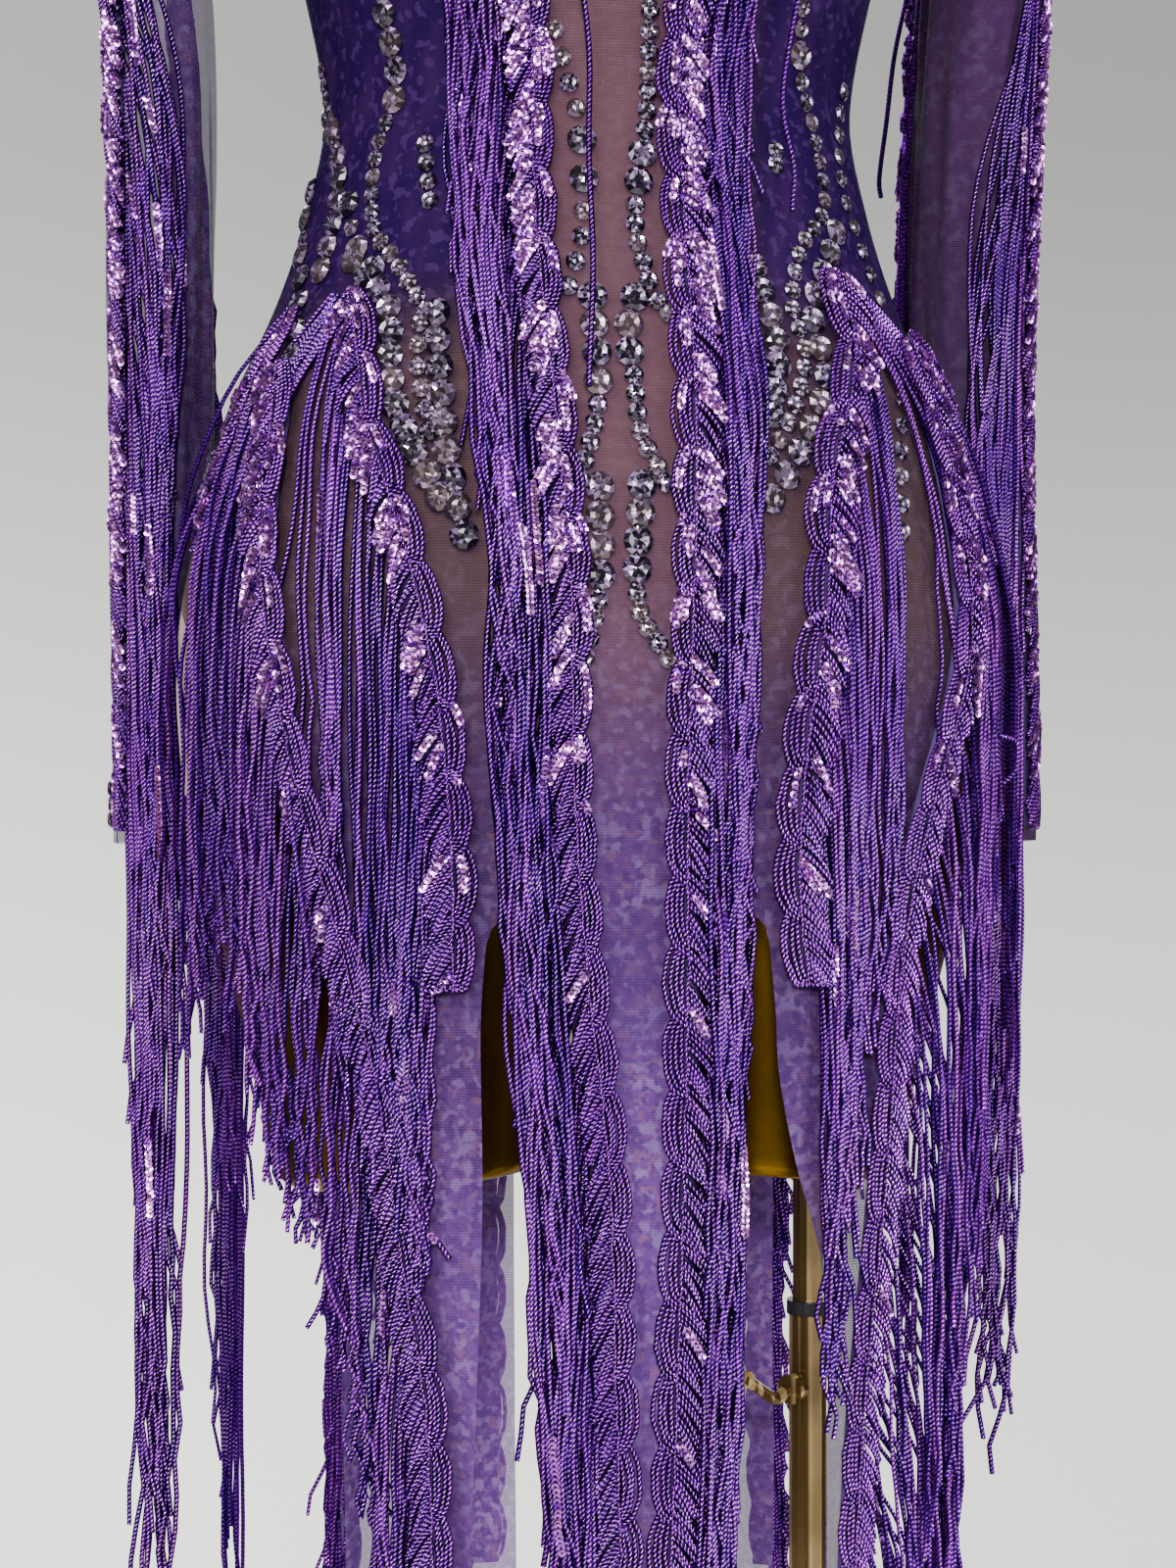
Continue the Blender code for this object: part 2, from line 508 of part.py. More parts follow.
class SleeveSurface:
    """The outer face of a sleeve, side -1 at -X and 1 at +X, read between the sleeve's own points.

    A turn goes round the sleeve from its front, positive toward +X.
    """

    def __init__(self, side, rows):
        self.side = side
        self.rows = rows
        self.cuff = rows[-1].outer_z
        self.row_heights = [(row.inner_z + row.outer_z) / 2 for row in rows]
        self.rings = [[self.section_point(step, row) for step in range(SLEEVE_SIDES)] for row in rows]

    def section_point(self, step, row):
        """A point of one row of the sleeve, with the soft folds in it."""
        turn = 360 * step / SLEEVE_SIDES
        middle = Vector((self.side * (row.inner_x + row.outer_x) / 2, row.middle_y,
                         (row.inner_z + row.outer_z) / 2))
        half_width, rise = (row.outer_x - row.inner_x) / 2, self.side * (row.outer_z - row.inner_z) / 2
        fold_top = self.rows[FOLD_START].outer_z
        share = min(1, max(0, (fold_top - middle.z) / (fold_top - self.cuff)))
        size = 1 + FOLD_DEPTH * share * math.cos(math.radians(SLEEVE_FOLDS * turn + FOLD_TWIST * share))
        across, ahead = math.sin(math.radians(turn)), math.cos(math.radians(turn))
        return middle + Vector((half_width * across, -row.half_depth * ahead, rise * across)) * size

    def point(self, turn, height):
        """A point on the outer face, straight between the sleeve's points."""
        place = turn * SLEEVE_SIDES / 360
        first = math.floor(place)
        share = place - first
        line = [ring[first % SLEEVE_SIDES].lerp(ring[(first + 1) % SLEEVE_SIDES], share)
                for ring in self.rings]
        for upper, lower in zip(line, line[1:]):
            if upper.z >= height > lower.z:
                return upper.lerp(lower, (upper.z - height) / (upper.z - lower.z))
        return Vector((line[-1].x, line[-1].y, height))

    def middle(self, height):
        quarters = [self.point(turn, height) for turn in (0, 90, 180, 270)]
        return sum(quarters, Vector()) / len(quarters)

    def outward(self, point):
        """The level direction away from the sleeve's middle."""
        away = point - self.middle(point.z)
        away.z = 0
        return away.normalized()

    def strand(self, turn, root, height, lift):
        """A strand lies on the sleeve down to the cuff, and hangs straight from there."""
        point = self.point(turn, max(height, self.cuff))
        point += self.outward(point) * lift
        point.z = height
        return point


# ---------------------------------------------------------------- front and back panels
def armhole_share(height):
    """How much of the panel's half width is left beside the armhole."""
    rise = (height - ARMHOLE_MIDDLE) / ARMHOLE_HALF_HEIGHT
    return 1 - ARMHOLE_DEPTH * math.sqrt(max(0, 1 - rise**2))


def seam_turn(height):
    """The turn of the side seam that leaves half of its gap."""
    depth = min(body_size(height)[1:])
    return math.degrees(math.acos((SEAM_GAP / 2 / depth) ** (ROUNDNESS / 2)))


def hem_columns(row, strips):
    """Columns of the body block from -X to +X: a HemPoint each, with the strip that goes on below."""
    columns = [(HemPoint(-point.turn, point.bottom), None) for point in SIDE_HEM]
    for index, (first, last) in enumerate(strips):
        start, end = getattr(row, first), getattr(row, last)
        if index:
            gap_start = columns[-1][0].turn
            columns += [(HemPoint(gap_start + (start - gap_start) * share, SLIT_TOP), None)
                        for share in SLIT_SHARES]
        columns += [(HemPoint(start + (end - start) * step / (STRIP_COLUMNS - 1), STRIP_TOP), index)
                    for step in range(STRIP_COLUMNS)]
    return columns + [(point, None) for point in reversed(SIDE_HEM)]


def build_panel(name, surface, strip_rows, strips, material):
    """One body panel with its armhole edges, shaped lower edge and hanging strips."""
    columns = hem_columns(strip_rows[0], strips)
    points, faces = [], []
    for height in BODY_ROWS:
        for hem, _ in columns:
            level = height
            if height < KNEE_HEIGHT:
                drop = (KNEE_HEIGHT - height) / (KNEE_HEIGHT - STRIP_TOP)
                level = KNEE_HEIGHT - drop * (KNEE_HEIGHT - hem.bottom)
            turn = hem.turn * armhole_share(level) * seam_turn(level) / 90
            points.append(surface.point(turn, level))
    width = len(columns)
    for row in range(len(BODY_ROWS) - 1):
        for column in range(width - 1):
            corner = row * width + column
            faces.append((corner, corner + width, corner + width + 1, corner + 1))
    last_row = (len(BODY_ROWS) - 1) * width
    for index, (first, last) in enumerate(strips):
        above = [last_row + c for c, (_, strip) in enumerate(columns) if strip == index]
        for row in strip_rows[1:]:
            start, end = getattr(row, first), getattr(row, last)
            below = []
            for step in range(STRIP_COLUMNS):
                turn = start + (end - start) * step / (STRIP_COLUMNS - 1)
                below.append(len(points))
                points.append(surface.point(turn, row.height))
            for step in range(STRIP_COLUMNS - 1):
                faces.append((above[step], below[step], below[step + 1], above[step + 1]))
            above = below
    if surface.facing < 0:
        faces = [tuple(reversed(face)) for face in faces]
    add_cloth_wall(add_object(name, points, faces, material))


def add_cloth_wall(item):
    """The cloth's thickness, inward from the outer face."""
    wall = item.modifiers.new("cloth wall", "SOLIDIFY")
    wall.thickness = CLOTH
    wall.offset = -1
    wall.use_even_offset = True


# ---------------------------------------------------------------- sleeves
def armhole_ring(side):
    """The sleeve's top edge, just inside the armhole that both panels leave open."""
    front, back = BodySurface(1), BodySurface(-1)
    ring = []
    for step in range(SLEEVE_SIDES):
        angle = 2 * math.pi * step / SLEEVE_SIDES
        up, ahead = side * math.sin(angle), math.cos(angle)
        edge = ARMHOLE_MIDDLE + ARMHOLE_HALF_HEIGHT * up
        surface = front if ahead >= 0 else back
        turn = side * armhole_share(edge) * seam_turn(edge)
        ease = side * abs(ahead) * ARMHOLE_EASE / metres_per_degree(surface, turn, edge)
        height = edge - ARMHOLE_EASE * up
        ring.append(surface.strand(turn + ease, height, height, ARMHOLE_LIFT))
    return ring


def build_sleeve(name, surface, material):
    """A limp open tube from the armhole to its cuff, with soft folds down its length."""
    rings = [armhole_ring(surface.side)] + surface.rings
    points = [point for ring in rings for point in ring]
    faces = []
    for level in range(len(rings) - 1):
        for side in range(SLEEVE_SIDES):
            following = (side + 1) % SLEEVE_SIDES
            upper, lower = level * SLEEVE_SIDES, (level + 1) * SLEEVE_SIDES
            faces.append((upper + side, lower + side, lower + following, upper + following))
    add_cloth_wall(add_object(name, points, faces, material))


# ---------------------------------------------------------------- fringe
def metres_per_degree(surface, turn, height):
    """How far one degree of turn goes round a surface."""
    step = surface.point(turn + TURN_STEP, height) - surface.point(turn - TURN_STEP, height)
    return step.length / (2 * TURN_STEP)


def backing_ring(fringe, height):
    """Four corners of the backing: cloth side at -turn and +turn, then outer side +turn and -turn."""
    turn = smooth_value(fringe.route, "turn", height)
    half = BACKING_WIDTH / 2 / metres_per_degree(fringe.carrier, turn, height)
    low, high = BACKING_LIFT, BACKING_LIFT + BACKING_THICKNESS
    corners = ((-half, low), (half, low), (half, high), (-half, high))
    return [fringe.carrier.strand(turn + side, height, height, lift) for side, lift in corners]


def lock_ring(carrier, turn, root, drop, lift, width):
    """Four corners of a lock: outer side at -turn and +turn, then cloth side +turn and -turn."""
    half = width / 2 / metres_per_degree(carrier, turn, root)
    high = lift + width * LOCK_FLATNESS
    corners = ((-half, high), (half, high), (half, lift), (-half, lift))
    return [carrier.strand(turn + side, root, root - drop, level) for side, level in corners]


def sideways_distance(carrier, first, second):
    """How far apart two points are, measured along the surface."""
    gap, away = first - second, carrier.outward(first)
    return abs(gap.y * away.x - gap.x * away.y)


def free_lane(fringe, root, hanging):
    """Turn of the nearest lane beside the backing that no older lock hangs in, and its offset."""
    carrier = fringe.carrier
    start = smooth_value(fringe.route, "turn", root)
    degree = metres_per_degree(carrier, start, root)
    offset = fringe.first_lane
    while True:
        turn = start + fringe.outward * offset / degree
        clear = all(
            sideways_distance(carrier, carrier.strand(turn, root, height, 0.0),
                              carrier.strand(lock.turn, lock.root, height, 0.0)) >= LANE_PITCH
            for lock in hanging for height in (root - LANE_DROP, max(lock.end, root - fringe.length)))
        if clear:
            return turn, offset
        offset += LANE_STEP


def build_fringe(fringe, material):
    """A narrow backing and the locks that grow from its outer face, as one closed solid."""
    top, bottom = fringe.route[0].height, fringe.route[-1].height
    count = max(1, int((top - bottom - ROOT_HEIGHT) / fringe.pitch) + 1)
    points = backing_ring(fringe, top)
    faces = [(3, 2, 1, 0)]
    ring = [0, 1, 2, 3]
    locks = []

    def add_ring(corners):
        first = len(points)
        points.extend(corners)
        return [first, first + 1, first + 2, first + 3]

    def join(upper, lower, skip=None):
        for edge in range(4):
            following = (edge + 1) % 4
            if edge != skip:
                faces.append((upper[edge], upper[following], lower[following], lower[edge]))

    def add_plain_stretch(ring, high, low):
        """Backing with no root on it, bent at the cloth's own rows."""
        bends = [row for row in fringe.carrier.row_heights if low + MIN_BEND < row < high - MIN_BEND]
        for height in sorted(bends, reverse=True) + [low]:
            lower = add_ring(backing_ring(fringe, height))
            join(ring, lower)
            ring = lower
        return ring

    for index in range(count):
        root_top = top - index * fringe.pitch
        root = root_top - ROOT_HEIGHT
        if index:
            ring = add_plain_stretch(ring, root_top + fringe.pitch - ROOT_HEIGHT, root_top)
        lower = add_ring(backing_ring(fringe, root))
        join(ring, lower, skip=2)
        length = fringe.length
        if index < len(fringe.first_lengths):
            length = fringe.first_lengths[index]
        length = min(length, root - FRINGE_END)
        turn, offset = free_lane(fringe, root, [lock for lock in locks if lock.end < root_top])
        locks.append(Lock(turn, root, root - length))
        upper = [ring[3], ring[2], lower[2], lower[3]]
        for corners in lock_stations(fringe, locks[-1], offset):
            below = add_ring(corners)
            for edge in range(4):
                following = (edge + 1) % 4
                faces.append((upper[edge], below[edge], below[following], upper[following]))
            upper = below
        faces.append(tuple(reversed(upper)))
        ring = lower
    if root - bottom > ROOT_HEIGHT / 2:
        ring = add_plain_stretch(ring, root, bottom)
    faces.append(tuple(ring))
    if isinstance(fringe.carrier, BodySurface) and fringe.carrier.facing < 0:
        faces = [tuple(reversed(face)) for face in faces]
    add_object(fringe.name, points, faces, material)


def chord_sag(carrier, root, start, halfway, end):
    """How far a strand's path bends away from the straight line between two of its stations."""
    first, middle, last = (carrier.strand(turn, root, root - drop, lift)
                           for turn, drop, lift in (start, halfway, end))
    return ((first + last) / 2 - middle).length


def lock_stations(fringe, lock, offset):
    """Rings of one lock: over the backing's edge, into its lane and down to its tip."""
    carrier = fringe.carrier
    length = lock.root - lock.end
    start = smooth_value(fringe.route, "turn", lock.root)
    shoulder = start + (lock.turn - start) * fringe.first_lane / offset * SHOULDER_SHARE
    width = fringe.lock_width
    yield lock_ring(carrier, shoulder, lock.root, SHOULDER_DROP, SHOULDER_LIFT, width * 1.15)
    if offset > fringe.first_lane:
        path = [(shoulder, SHOULDER_DROP, SHOULDER_LIFT), (lock.turn, LANE_DROP, LOW_LIFT)]
        halfway = [sum(pair) / 2 for pair in zip(*path)]
        if chord_sag(carrier, lock.root, path[0], halfway, path[1]) > LOW_SAG:
            yield lock_ring(carrier, halfway[0], lock.root, *halfway[1:], width)
        yield lock_ring(carrier, lock.turn, lock.root, LANE_DROP, LOW_LIFT, width)
    drops = falling_drops(carrier, lock)
    for drop in drops:
        share = (drop - RAISE_DROP) / (length - RAISE_DROP)
        size = width * (1 + (TIP_SHARE - 1) * share)
        yield lock_ring(carrier, lock.turn, lock.root, drop, HIGH_LIFT, size)


def falling_drops(carrier, lock):
    """Drops of the rings from where a lock is raised to its tip: as few as its path allows."""
    length = lock.root - lock.end
    for count in range(1, MAX_FALL_STRETCHES + 1):
        drops = [RAISE_DROP + (length - RAISE_DROP) * step / count for step in range(count + 1)]
        sag = max(chord_sag(carrier, lock.root, *((lock.turn, drop, HIGH_LIFT)
                                                  for drop in (first, (first + last) / 2, last)))
                  for first, last in zip(drops, drops[1:]))
        if sag <= HIGH_SAG:
            break
    return drops


def build_all_fringe(material):
    """Every fringe node: front, back and sleeves."""
    front, back = BodySurface(1), BodySurface(-1)
    left, right = SleeveSurface(-1, LEFT_SLEEVE), SleeveSurface(1, RIGHT_SLEEVE)

    def mirrored(route):
        return tuple(RoutePoint(point.height, -point.turn) for point in route)

    plans = (
        ("front_centre_left", front, -1, CENTRE_LEFT, 0.064, 0.246, ()),
        ("front_centre_right", front, 1, CENTRE_RIGHT, 0.064, 0.246, ()),
        ("front_hip_left", front, -1, HIP_LEFT, 0.046, 0.200, (0.090, 0.140)),
        ("front_hip_right", front, 1, HIP_RIGHT, 0.046, 0.200, (0.110, 0.150)),
        ("front_edge_left", front, -1, EDGE_LEFT, 0.052, 0.200, EDGE_LEFT_LENGTHS),
        ("front_edge_right", front, 1, EDGE_RIGHT, 0.052, 0.240, ()),
        ("side_left", front, -1, SIDE_LEFT, 0.044, 0.240, ()),
        ("side_right", front, 1, mirrored(SIDE_LEFT), 0.044, 0.240, ()),
        ("back_centre_left", back, -1, mirrored(BACK_CENTRE), 0.064, 0.246, ()),
        ("back_centre_right", back, 1, BACK_CENTRE, 0.064, 0.246, ()),
        ("back_hip_left", back, -1, mirrored(BACK_HIP), 0.052, 0.200, (0.090, 0.140)),
        ("back_hip_right", back, 1, BACK_HIP, 0.052, 0.200, (0.090, 0.140)),
        ("back_edge_left", back, -1, mirrored(BACK_EDGE), 0.052, 0.220, ()),
        ("back_edge_right", back, 1, BACK_EDGE, 0.052, 0.220, ()),
        ("sleeve_left_front", left, 1, mirrored(SLEEVE_FRONT), 0.0975, 0.380, LEFT_LENGTHS),
        ("sleeve_right_front", right, -1, SLEEVE_FRONT, 0.0975, 0.270, RIGHT_LENGTHS),
        ("sleeve_left_back", left, -1, SLEEVE_BACK, 0.0975, 0.380, LEFT_LENGTHS),
        ("sleeve_right_back", right, 1, mirrored(SLEEVE_BACK), 0.0975, 0.270, RIGHT_LENGTHS),
    )
    for name, *rest in plans:
        first_lane = FIRST_LANE if isinstance(rest[0], BodySurface) else SLEEVE_FIRST_LANE
        build_fringe(Fringe("fringe_" + name, *rest, first_lane, LOCK_WIDTH), material)


def main():
    for item in list(bpy.data.objects):
        bpy.data.objects.remove(item, do_unlink=True)
    cover = make_material("form cover", (0.62, 0.47, 0.36), 0.9)
    shell = make_material("gold shell", (0.62, 0.45, 0.16), 0.25, 1.0)
    brass = make_material("brass", (0.70, 0.53, 0.22), 0.22, 1.0)
    rubber = make_material("black rubber", (0.02, 0.02, 0.02), 0.6)
    cloth = make_material("stretch mesh", (0.36, 0.22, 0.55), 0.8)
    beads = make_material("beaded fringe", (0.30, 0.10, 0.62), 0.4)
    build_dress_form(cover, shell)
    build_stand(brass, rubber, brass)
    build_panel("front_panel", BodySurface(1), STRIP_ROWS, STRIPS, cloth)
    build_panel("back_panel", BodySurface(-1), BACK_STRIP_ROWS, BACK_STRIPS, cloth)
    build_sleeve("sleeve_left", SleeveSurface(-1, LEFT_SLEEVE), cloth)
    build_sleeve("sleeve_right", SleeveSurface(1, RIGHT_SLEEVE), cloth)
    build_all_fringe(beads)


if __name__ == "__main__":
    main()
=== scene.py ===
"""Latin dance dress on its dress form: stretch mesh, beaded fringe, stones, form, stand and stage.

Metres, +Z up, the front of the dress faces -Y. A turn is an angle in degrees round the body from its
front middle, positive toward +X. On the back it is counted from the back's middle, so that both
sides read the same tables. Places on a line of fringe are given as (across, height, lift): across is
measured from the line's middle, positive toward the side where the strands hang.
"""
import math
from collections import namedtuple

import bpy
import numpy as np
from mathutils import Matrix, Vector


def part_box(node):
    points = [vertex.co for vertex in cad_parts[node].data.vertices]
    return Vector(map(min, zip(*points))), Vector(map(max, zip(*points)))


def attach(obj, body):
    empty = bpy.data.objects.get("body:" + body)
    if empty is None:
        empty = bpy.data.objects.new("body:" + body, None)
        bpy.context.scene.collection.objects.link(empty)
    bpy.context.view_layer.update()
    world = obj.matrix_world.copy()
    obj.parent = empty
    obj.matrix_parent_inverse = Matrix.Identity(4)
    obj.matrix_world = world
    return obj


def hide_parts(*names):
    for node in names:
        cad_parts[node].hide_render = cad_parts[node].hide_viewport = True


bl_info = {
    "name": "Dance Dress Finish",
    "version": (1, 0, 0),
    "blender": (4, 5, 0),
    "location": "View3D > Sidebar > Dance Dress",
    "description": "Dresses the frame of a fringed dance dress and its form with cloth, beads and stones",
    "category": "Add Mesh",
}

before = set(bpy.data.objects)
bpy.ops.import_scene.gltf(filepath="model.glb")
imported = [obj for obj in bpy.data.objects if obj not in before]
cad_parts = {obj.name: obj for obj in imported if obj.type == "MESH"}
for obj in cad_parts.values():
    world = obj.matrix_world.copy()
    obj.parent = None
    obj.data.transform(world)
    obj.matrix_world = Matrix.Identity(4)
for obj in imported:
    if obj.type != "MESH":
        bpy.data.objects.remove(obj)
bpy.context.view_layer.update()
BODY = "root"


def rows_of(kind, *rows):
    """A table's rows, each a named tuple of one kind."""
    return tuple(kind(*row) for row in rows)


# ---------------------------------------------------------------- the form and the dress round it
BodyRing = namedtuple("BodyRing", "height half_width front back")
FORM_RINGS = rows_of(BodyRing,
    (1.500, 0.0520, 0.050, 0.055), (1.455, 0.0540, 0.052, 0.058), (1.425, 0.0660, 0.060, 0.068),
    (1.405, 0.0980, 0.068, 0.078), (1.385, 0.1400, 0.076, 0.085), (1.365, 0.1660, 0.083, 0.090),
    (1.335, 0.1740, 0.090, 0.096), (1.290, 0.1680, 0.100, 0.100), (1.240, 0.1520, 0.115, 0.100),
    (1.200, 0.1410, 0.120, 0.098), (1.160, 0.1310, 0.112, 0.094), (1.120, 0.1195, 0.098, 0.088),
    (1.065, 0.1105, 0.086, 0.083), (1.020, 0.1185, 0.090, 0.090), (0.980, 0.1315, 0.097, 0.102),
    (0.937, 0.1510, 0.104, 0.115), (0.900, 0.1640, 0.108, 0.122), (0.860, 0.1735, 0.110, 0.126),
    (0.823, 0.1765, 0.110, 0.126), (0.774, 0.1735, 0.106, 0.116),
)
HIP_HEIGHT = 0.823          # below here the dress hangs free of the form
HANG_RINGS = rows_of(BodyRing,
    (0.823, 0.1797, 0.1132, 0.1292), (0.774, 0.1765, 0.1127, 0.1285), (0.700, 0.1680, 0.1110, 0.1240),
    (0.600, 0.1550, 0.1090, 0.1180), (0.450, 0.1450, 0.1070, 0.1120), (0.300, 0.1400, 0.1060, 0.1100),
)
ROUNDNESS = 2.15            # of every section: 2 would be an ellipse
CLOTH_LIFT = 0.0032         # of the dress's outer face over the form
CLOTH_RISE = 0.0030         # it also clears what the form measures this much lower
SEAM_GAP = 0.0006           # between the panels at each side
PROFILE_STEP = 0.001

ARMHOLE_MIDDLE = 1.315
ARMHOLE_HALF_HEIGHT = 0.070
ARMHOLE_DEPTH = 0.36        # as a share of the way from the side to the middle
ARMHOLE_EASE = 0.0008       # the sleeve's top edge is this much smaller,
ARMHOLE_LIFT = 0.0006       # and stands this much prouder
NECK_HEIGHT = 1.425
BEND_HEIGHT = 0.940         # below here a panel's rows bend toward its lower edge
STRIP_TOP = 0.717
SLIT_TOP = 0.7285           # the arches between the strips reach up to here
HEM_HEIGHT = 0.400
RoutePoint = namedtuple("RoutePoint", "height turn")
SIDE_HEM = rows_of(RoutePoint,
    (0.868, 90.0), (0.855, 80.0), (0.836, 70.0), (0.812, 60.5), (0.785, 51.5), (0.717, 42.7),
)
StripRow = namedtuple("StripRow",
                      "height left_outer left_inner middle_left middle_right right_inner right_outer")
STRIP_ROWS = rows_of(StripRow,
    (0.717, -42.7, -18.0, -9.2, 10.1, 17.6, 43.3),
    (0.690, -40.8, -19.1, -8.7, 10.4, 19.1, 43.2),
    (0.665, -38.9, -19.6, -7.5, 10.6, 20.3, 43.4),
    (0.625, -37.6, -20.2, -6.9, 10.5, 24.5, 44.0),
    (0.585, -36.4, -21.0, -6.5, 10.2, 30.5, 43.6),
    (0.550, -34.0, -21.8, -6.2, 10.1, 32.6, 43.2),
    (0.510, -33.2, -22.8, -5.9, 9.9, 33.0, 42.4),
    (0.470, -33.2, -23.7, -5.5, 9.3, 33.3, 42.2),
    (0.400, -33.0, -25.0, -5.3, 9.0, 33.5, 41.5),
)
STRIPS = (("left_outer", "left_inner"), ("middle_left", "middle_right"), ("right_inner", "right_outer"))
BackStripRow = namedtuple("BackStripRow", "height left_outer left_inner right_inner right_outer")
BACK_STRIP_ROWS = tuple(    # the back has two strips, alike and open at its middle
    BackStripRow(height, -outer, -inner, inner, outer) for height, inner, outer in (
        (0.717, 5.0, 36.1), (0.690, 5.2, 37.1), (0.665, 5.4, 37.9), (0.625, 5.5, 39.6),
        (0.585, 5.6, 41.1), (0.550, 5.7, 41.9), (0.510, 5.8, 42.8), (0.470, 6.0, 44.0),
        (0.400, 6.2, 45.0)))
BACK_STRIPS = (("left_outer", "left_inner"), ("right_inner", "right_outer"))

SLEEVE_FOLDS = 3            # soft folds round a sleeve, and their depth as a share of its size
FOLD_DEPTH = 0.07
FOLD_TWIST = 40             # how far they wind round it, in degrees
FOLD_START = 4              # the row of the sleeve's table where they start
SleeveRow = namedtuple("SleeveRow", "inner_x inner_z outer_x outer_z middle_y half_depth")
LEFT_SLEEVE = rows_of(SleeveRow,        # at -X, written with x positive outward
    (0.1625, 1.236, 0.1840, 1.368, 0.006, 0.052), (0.1645, 1.222, 0.2010, 1.336, 0.012, 0.049),
    (0.1650, 1.205, 0.2110, 1.292, 0.020, 0.045), (0.1640, 1.180, 0.2140, 1.240, 0.028, 0.042),
    (0.1620, 1.150, 0.2130, 1.185, 0.036, 0.039), (0.1600, 1.110, 0.2100, 1.125, 0.045, 0.037),
    (0.1590, 1.050, 0.2080, 1.055, 0.055, 0.036), (0.1590, 0.990, 0.2075, 0.992, 0.064, 0.036),
    (0.1600, 0.930, 0.2070, 0.930, 0.073, 0.036), (0.1620, 0.870, 0.2065, 0.870, 0.080, 0.036),
    (0.1620, 0.810, 0.2060, 0.810, 0.082, 0.035), (0.1600, 0.753, 0.2060, 0.753, 0.082, 0.034),
)
RIGHT_SLEEVE = rows_of(SleeveRow,
    (0.1625, 1.236, 0.1840, 1.368, 0.006, 0.052), (0.1645, 1.222, 0.2020, 1.336, 0.012, 0.049),
    (0.1650, 1.205, 0.2120, 1.292, 0.020, 0.045), (0.1640, 1.180, 0.2150, 1.240, 0.028, 0.042),
    (0.1630, 1.150, 0.2165, 1.185, 0.036, 0.038), (0.1620, 1.110, 0.2180, 1.125, 0.045, 0.034),
    (0.1615, 1.050, 0.2185, 1.055, 0.055, 0.031), (0.1630, 0.990, 0.2195, 0.992, 0.064, 0.029),
    (0.1660, 0.930, 0.2220, 0.930, 0.072, 0.028), (0.1680, 0.870, 0.2260, 0.870, 0.079, 0.028),
    (0.1690, 0.810, 0.2280, 0.810, 0.080, 0.028), (0.1690, 0.753, 0.2285, 0.753, 0.080, 0.028),
)

ThighRing = namedtuple("ThighRing", "height middle_x half_width front back")
THIGH_RINGS = rows_of(ThighRing,
    (0.7736, 0.0865, 0.0845, 0.083, 0.091), (0.7450, 0.0840, 0.0815, 0.082, 0.089),
    (0.7000, 0.0805, 0.0740, 0.078, 0.085), (0.6600, 0.0775, 0.0665, 0.074, 0.080),
    (0.6170, 0.0735, 0.0600, 0.069, 0.074),
)
THIGH_CUT_SLOPE = 0.09

# ---------------------------------------------------------------- lines of fringe
CENTRE_LEFT = rows_of(RoutePoint,
    (1.330, -27.0), (1.240, -24.0), (1.160, -21.5), (1.090, -18.6), (1.013, -16.3), (0.933, -10.8),
    (0.856, -7.7), (0.780, -7.4), (0.704, -6.0), (0.627, -3.6), (0.550, -2.9), (0.410, -1.8),
)
CENTRE_RIGHT = rows_of(RoutePoint,
    (1.330, 25.0), (1.240, 22.0), (1.160, 17.0), (1.093, 11.8), (1.014, 10.2), (0.934, 8.7),
    (0.857, 7.2), (0.780, 6.5), (0.703, 6.9), (0.626, 7.0), (0.549, 6.5), (0.410, 5.3),
)
HIP_LEFT = rows_of(RoutePoint,
    (0.978, -50.6), (0.955, -44.1), (0.926, -39.1), (0.895, -32.7), (0.856, -27.2), (0.818, -24.2),
    (0.780, -23.1), (0.742, -22.8), (0.700, -23.6),
)
HIP_RIGHT = rows_of(RoutePoint,
    (0.990, 41.5), (0.960, 39.8), (0.926, 32.5), (0.897, 27.7), (0.858, 25.5), (0.819, 23.3),
    (0.780, 21.9), (0.741, 21.9), (0.700, 24.2),
)
EDGE_LEFT = rows_of(RoutePoint,
    (0.950, -60.2), (0.925, -56.1), (0.897, -54.2), (0.850, -49.9), (0.819, -47.5), (0.788, -45.3),
    (0.757, -42.7), (0.726, -40.0), (0.699, -38.0), (0.669, -35.6), (0.626, -34.2), (0.588, -33.0),
    (0.550, -30.8), (0.511, -30.0), (0.410, -30.0),
)
EDGE_RIGHT = rows_of(RoutePoint,
    (0.966, 57.0), (0.944, 56.6), (0.911, 55.4), (0.878, 53.9), (0.845, 52.6), (0.812, 49.4),
    (0.780, 44.8), (0.748, 41.7), (0.716, 40.0), (0.680, 39.8), (0.640, 40.4), (0.600, 40.2),
    (0.561, 39.2), (0.521, 38.2), (0.410, 37.2),
)
SIDE_LEFT = rows_of(RoutePoint, (0.974, -66.0), (0.945, -67.5), (0.915, -67.5), (0.875, -68.0))
SIDE_RIGHT = rows_of(RoutePoint, (0.974, 73.5), (0.945, 75.5), (0.915, 75.5), (0.875, 76.0))
BACK_CENTRE = rows_of(RoutePoint,
    (1.330, 24.0), (1.160, 18.0), (1.060, 14.0), (0.934, 11.0), (0.780, 9.6), (0.640, 10.2),
    (0.410, 11.6),
)
BACK_HIP = rows_of(RoutePoint, (0.975, 48.0), (0.926, 39.0), (0.870, 32.0), (0.800, 26.5), (0.730, 24.5))
BACK_EDGE = rows_of(RoutePoint,
    (0.800, 42.0), (0.757, 38.0), (0.717, 34.6), (0.669, 34.6), (0.600, 36.8), (0.540, 38.2),
    (0.410, 41.2),
)
SLEEVE_FRONT = rows_of(RoutePoint, (1.165, 45.0), (0.760, 45.0))
SLEEVE_BACK = rows_of(RoutePoint, (1.165, 135.0), (0.760, 135.0))
SLEEVE_LEFT_BACK = rows_of(RoutePoint, (1.165, 158.0), (0.980, 156.0), (0.760, 154.0))
FRINGE_END = 0.302          # no strand hangs lower

